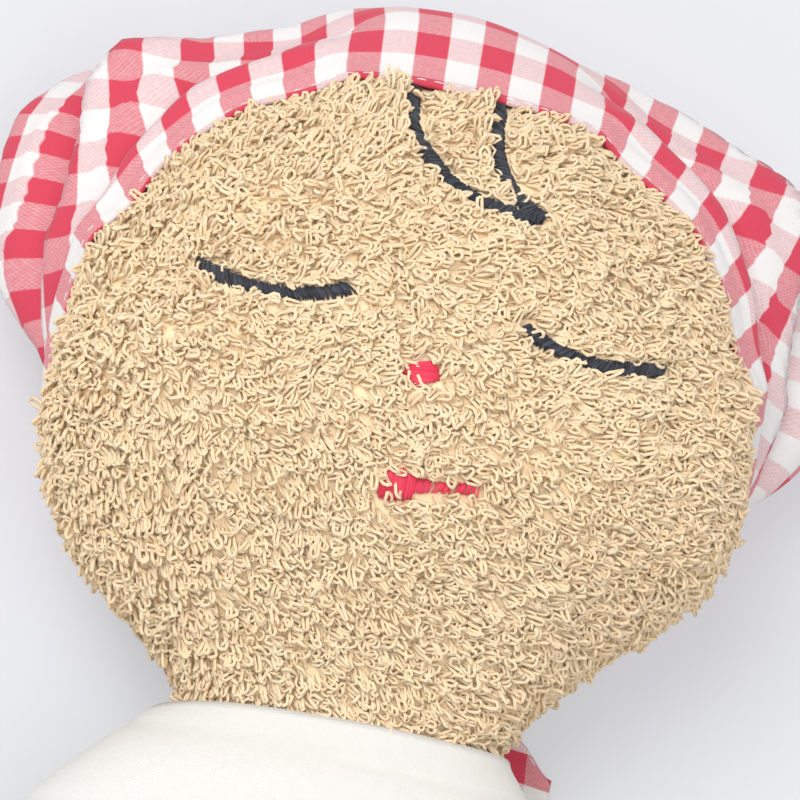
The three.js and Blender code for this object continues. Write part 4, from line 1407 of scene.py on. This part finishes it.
class DOLL_OT_body(bpy.types.Operator):
    """Models the stuffed body, with pile where it shows under the top"""
    bl_idname = "doll.body"
    bl_label = "Body"

    def execute(self, context):
        def seam(points, normals):
            return (np.abs(normals[:, 2]) < 0.3) | (points[:, 1] < -42)

        def keep(places, facing):
            beside = np.linalg.norm(np.abs(places) - SHOULDER, axis=1) < 9
            return ((places[:, 1] < TOP_HEM + 5) & (places[:, 1] > -47.5)) | beside

        nodes = nodes_of("torso")
        base = lofted("torso_base", nodes, 1.0, seam)
        draw_to_shoulder(base, 1, 46.0)
        draw_to_shoulder(base, -1, -46.0)
        finish_piece(base, "torso", backing_material(), nodes)
        spacing = LIMB_SPACING * size("spacing")
        piece, = pile(["body_pile"], base, 21, LIMB_RINGS, spacing, keep, limb_heading)
        finish_piece(piece, "torso", terry_material())
        return {"FINISHED"}


class DOLL_OT_top(bpy.types.Operator):
    """Models the cotton top with its neckline, its armholes and its hem"""
    bl_idname = "doll.top"
    bl_label = "Top"

    def execute(self, context):
        points = top_grid()
        places = cloth_places(points, points.shape[1] // 2)
        cloth = cloth_object("top_cloth", points, places)
        cut_armholes(cloth)
        thicken(cloth)
        for label, side in SIDES:
            path = binding(side)
            ring, quads = tubes(path[None], 0.8, np.array([[side, 0.0, 0.0]]), 8)
            edge = quad_object(f"armhole_{label}_binding", ring, quads)
            set_uv(edge, ring[:, 1:])
            finish_piece(edge, "torso", cotton_material())
        finish_piece(cloth, "torso", cotton_material(), ["top_front", "top_back"])
        return {"FINISHED"}


def add_limbs(limb, seed, form, sewn):
    """Stuffed limb and its pile on the left, and their mirrored copies on the right."""
    nodes = nodes_of(f"{limb}_left")
    base = form(f"{limb}_left_base", nodes)
    names = [f"{limb}_left_pile_{part}" for part in ("inner", "outer")]

    def keep(places, facing):
        return (places[:, 2] > 0.5) & ~sewn(places)

    spacing = LIMB_SPACING * size("spacing")
    loops = pile(names, base, seed, LIMB_RINGS, spacing, keep, limb_heading)
    twins = [mirrored(piece, piece.name.replace("left", "right")) for piece in [base, *loops]]
    for side, pieces in (("left", [base, *loops]), ("right", twins)):
        body = f"{limb}_{side}"
        finish_piece(pieces[0], body, backing_material(), nodes_of(body))
        for piece in pieces[1:]:
            finish_piece(piece, body, terry_material())


class DOLL_OT_arms(bpy.types.Operator):
    """Models both stuffed arms and their pile"""
    bl_idname = "doll.arms"
    bl_label = "Arms"

    def execute(self, context):
        def seam(points, normals):
            return np.abs(normals[:, 2]) < 0.25

        def form(name, nodes):
            base = stuffed(name, nodes, 2.5, 0.8, seam)
            draw_to_shoulder(base, -1, 46.6)
            return base

        def sewn(places):
            return np.linalg.norm(places - SHOULDER, axis=1) < 4.5

        add_limbs("arm", 31, form, sewn)
        return {"FINISHED"}


class DOLL_OT_legs(bpy.types.Operator):
    """Models both stuffed legs and their pile"""
    bl_idname = "doll.legs"
    bl_label = "Legs"

    def execute(self, context):
        def seam(points, normals):
            return (np.abs(normals[:, 2]) < 0.25) | (points[:, 1] > -58)

        def form(name, nodes):
            return lofted(name, nodes, 0.8, seam)

        def sewn(places):
            return places[:, 1] > -52.5

        add_limbs("leg", 41, form, sewn)
        return {"FINISHED"}


class DOLL_OT_stage(bpy.types.Operator):
    """Sets up the floor, the lamps, the even light and the camera"""
    bl_idname = "doll.stage"
    bl_label = "Stage"

    def execute(self, context):
        bpy.ops.object.select_all(action="DESELECT")
        bpy.ops.mesh.primitive_plane_add(size=6)
        floor = context.object
        floor.name = "floor"
        floor.data.materials.append(floor_material())
        add_camera()
        for lamp in LAMPS:
            add_lamp(*lamp)
        add_world()
        context.scene.view_settings.view_transform = "Standard"
        return {"FINISHED"}


class DOLL_PT_panel(bpy.types.Panel):
    """Lists the doll's sizes, colours and pieces"""
    bl_idname = "DOLL_PT_panel"
    bl_label = "Rag Doll"
    bl_space_type = "VIEW_3D"
    bl_region_type = "UI"
    bl_category = "Rag Doll"

    def draw(self, context):
        layout = self.layout
        for group in (context.scene.doll_sizes, context.scene.doll_colours):
            column = layout.column(align=True)
            for name in group.__annotations__:
                column.prop(group, name)
        column = layout.column(align=True)
        for operator in OPERATORS:
            column.operator(operator.bl_idname)


OPERATORS = (
    DOLL_OT_stage, DOLL_OT_head, DOLL_OT_face, DOLL_OT_kerchief, DOLL_OT_knot,
    DOLL_OT_body, DOLL_OT_top, DOLL_OT_arms, DOLL_OT_legs,
)
CLASSES = (DollSizes, DollColours, *OPERATORS, DOLL_PT_panel)


def register():
    for item in CLASSES:
        bpy.utils.register_class(item)
    bpy.types.Scene.doll_sizes = bpy.props.PointerProperty(type=DollSizes)
    bpy.types.Scene.doll_colours = bpy.props.PointerProperty(type=DollColours)


def unregister():
    del bpy.types.Scene.doll_colours
    del bpy.types.Scene.doll_sizes
    for item in reversed(CLASSES):
        bpy.utils.unregister_class(item)


def main():
    register()
    bpy.ops.doll.stage()
    bpy.ops.doll.head()
    bpy.ops.doll.face()
    bpy.ops.doll.kerchief()
    bpy.ops.doll.knot()
    bpy.ops.doll.body()
    bpy.ops.doll.top()
    bpy.ops.doll.arms()
    bpy.ops.doll.legs()


if __name__ == "__main__":
    main()
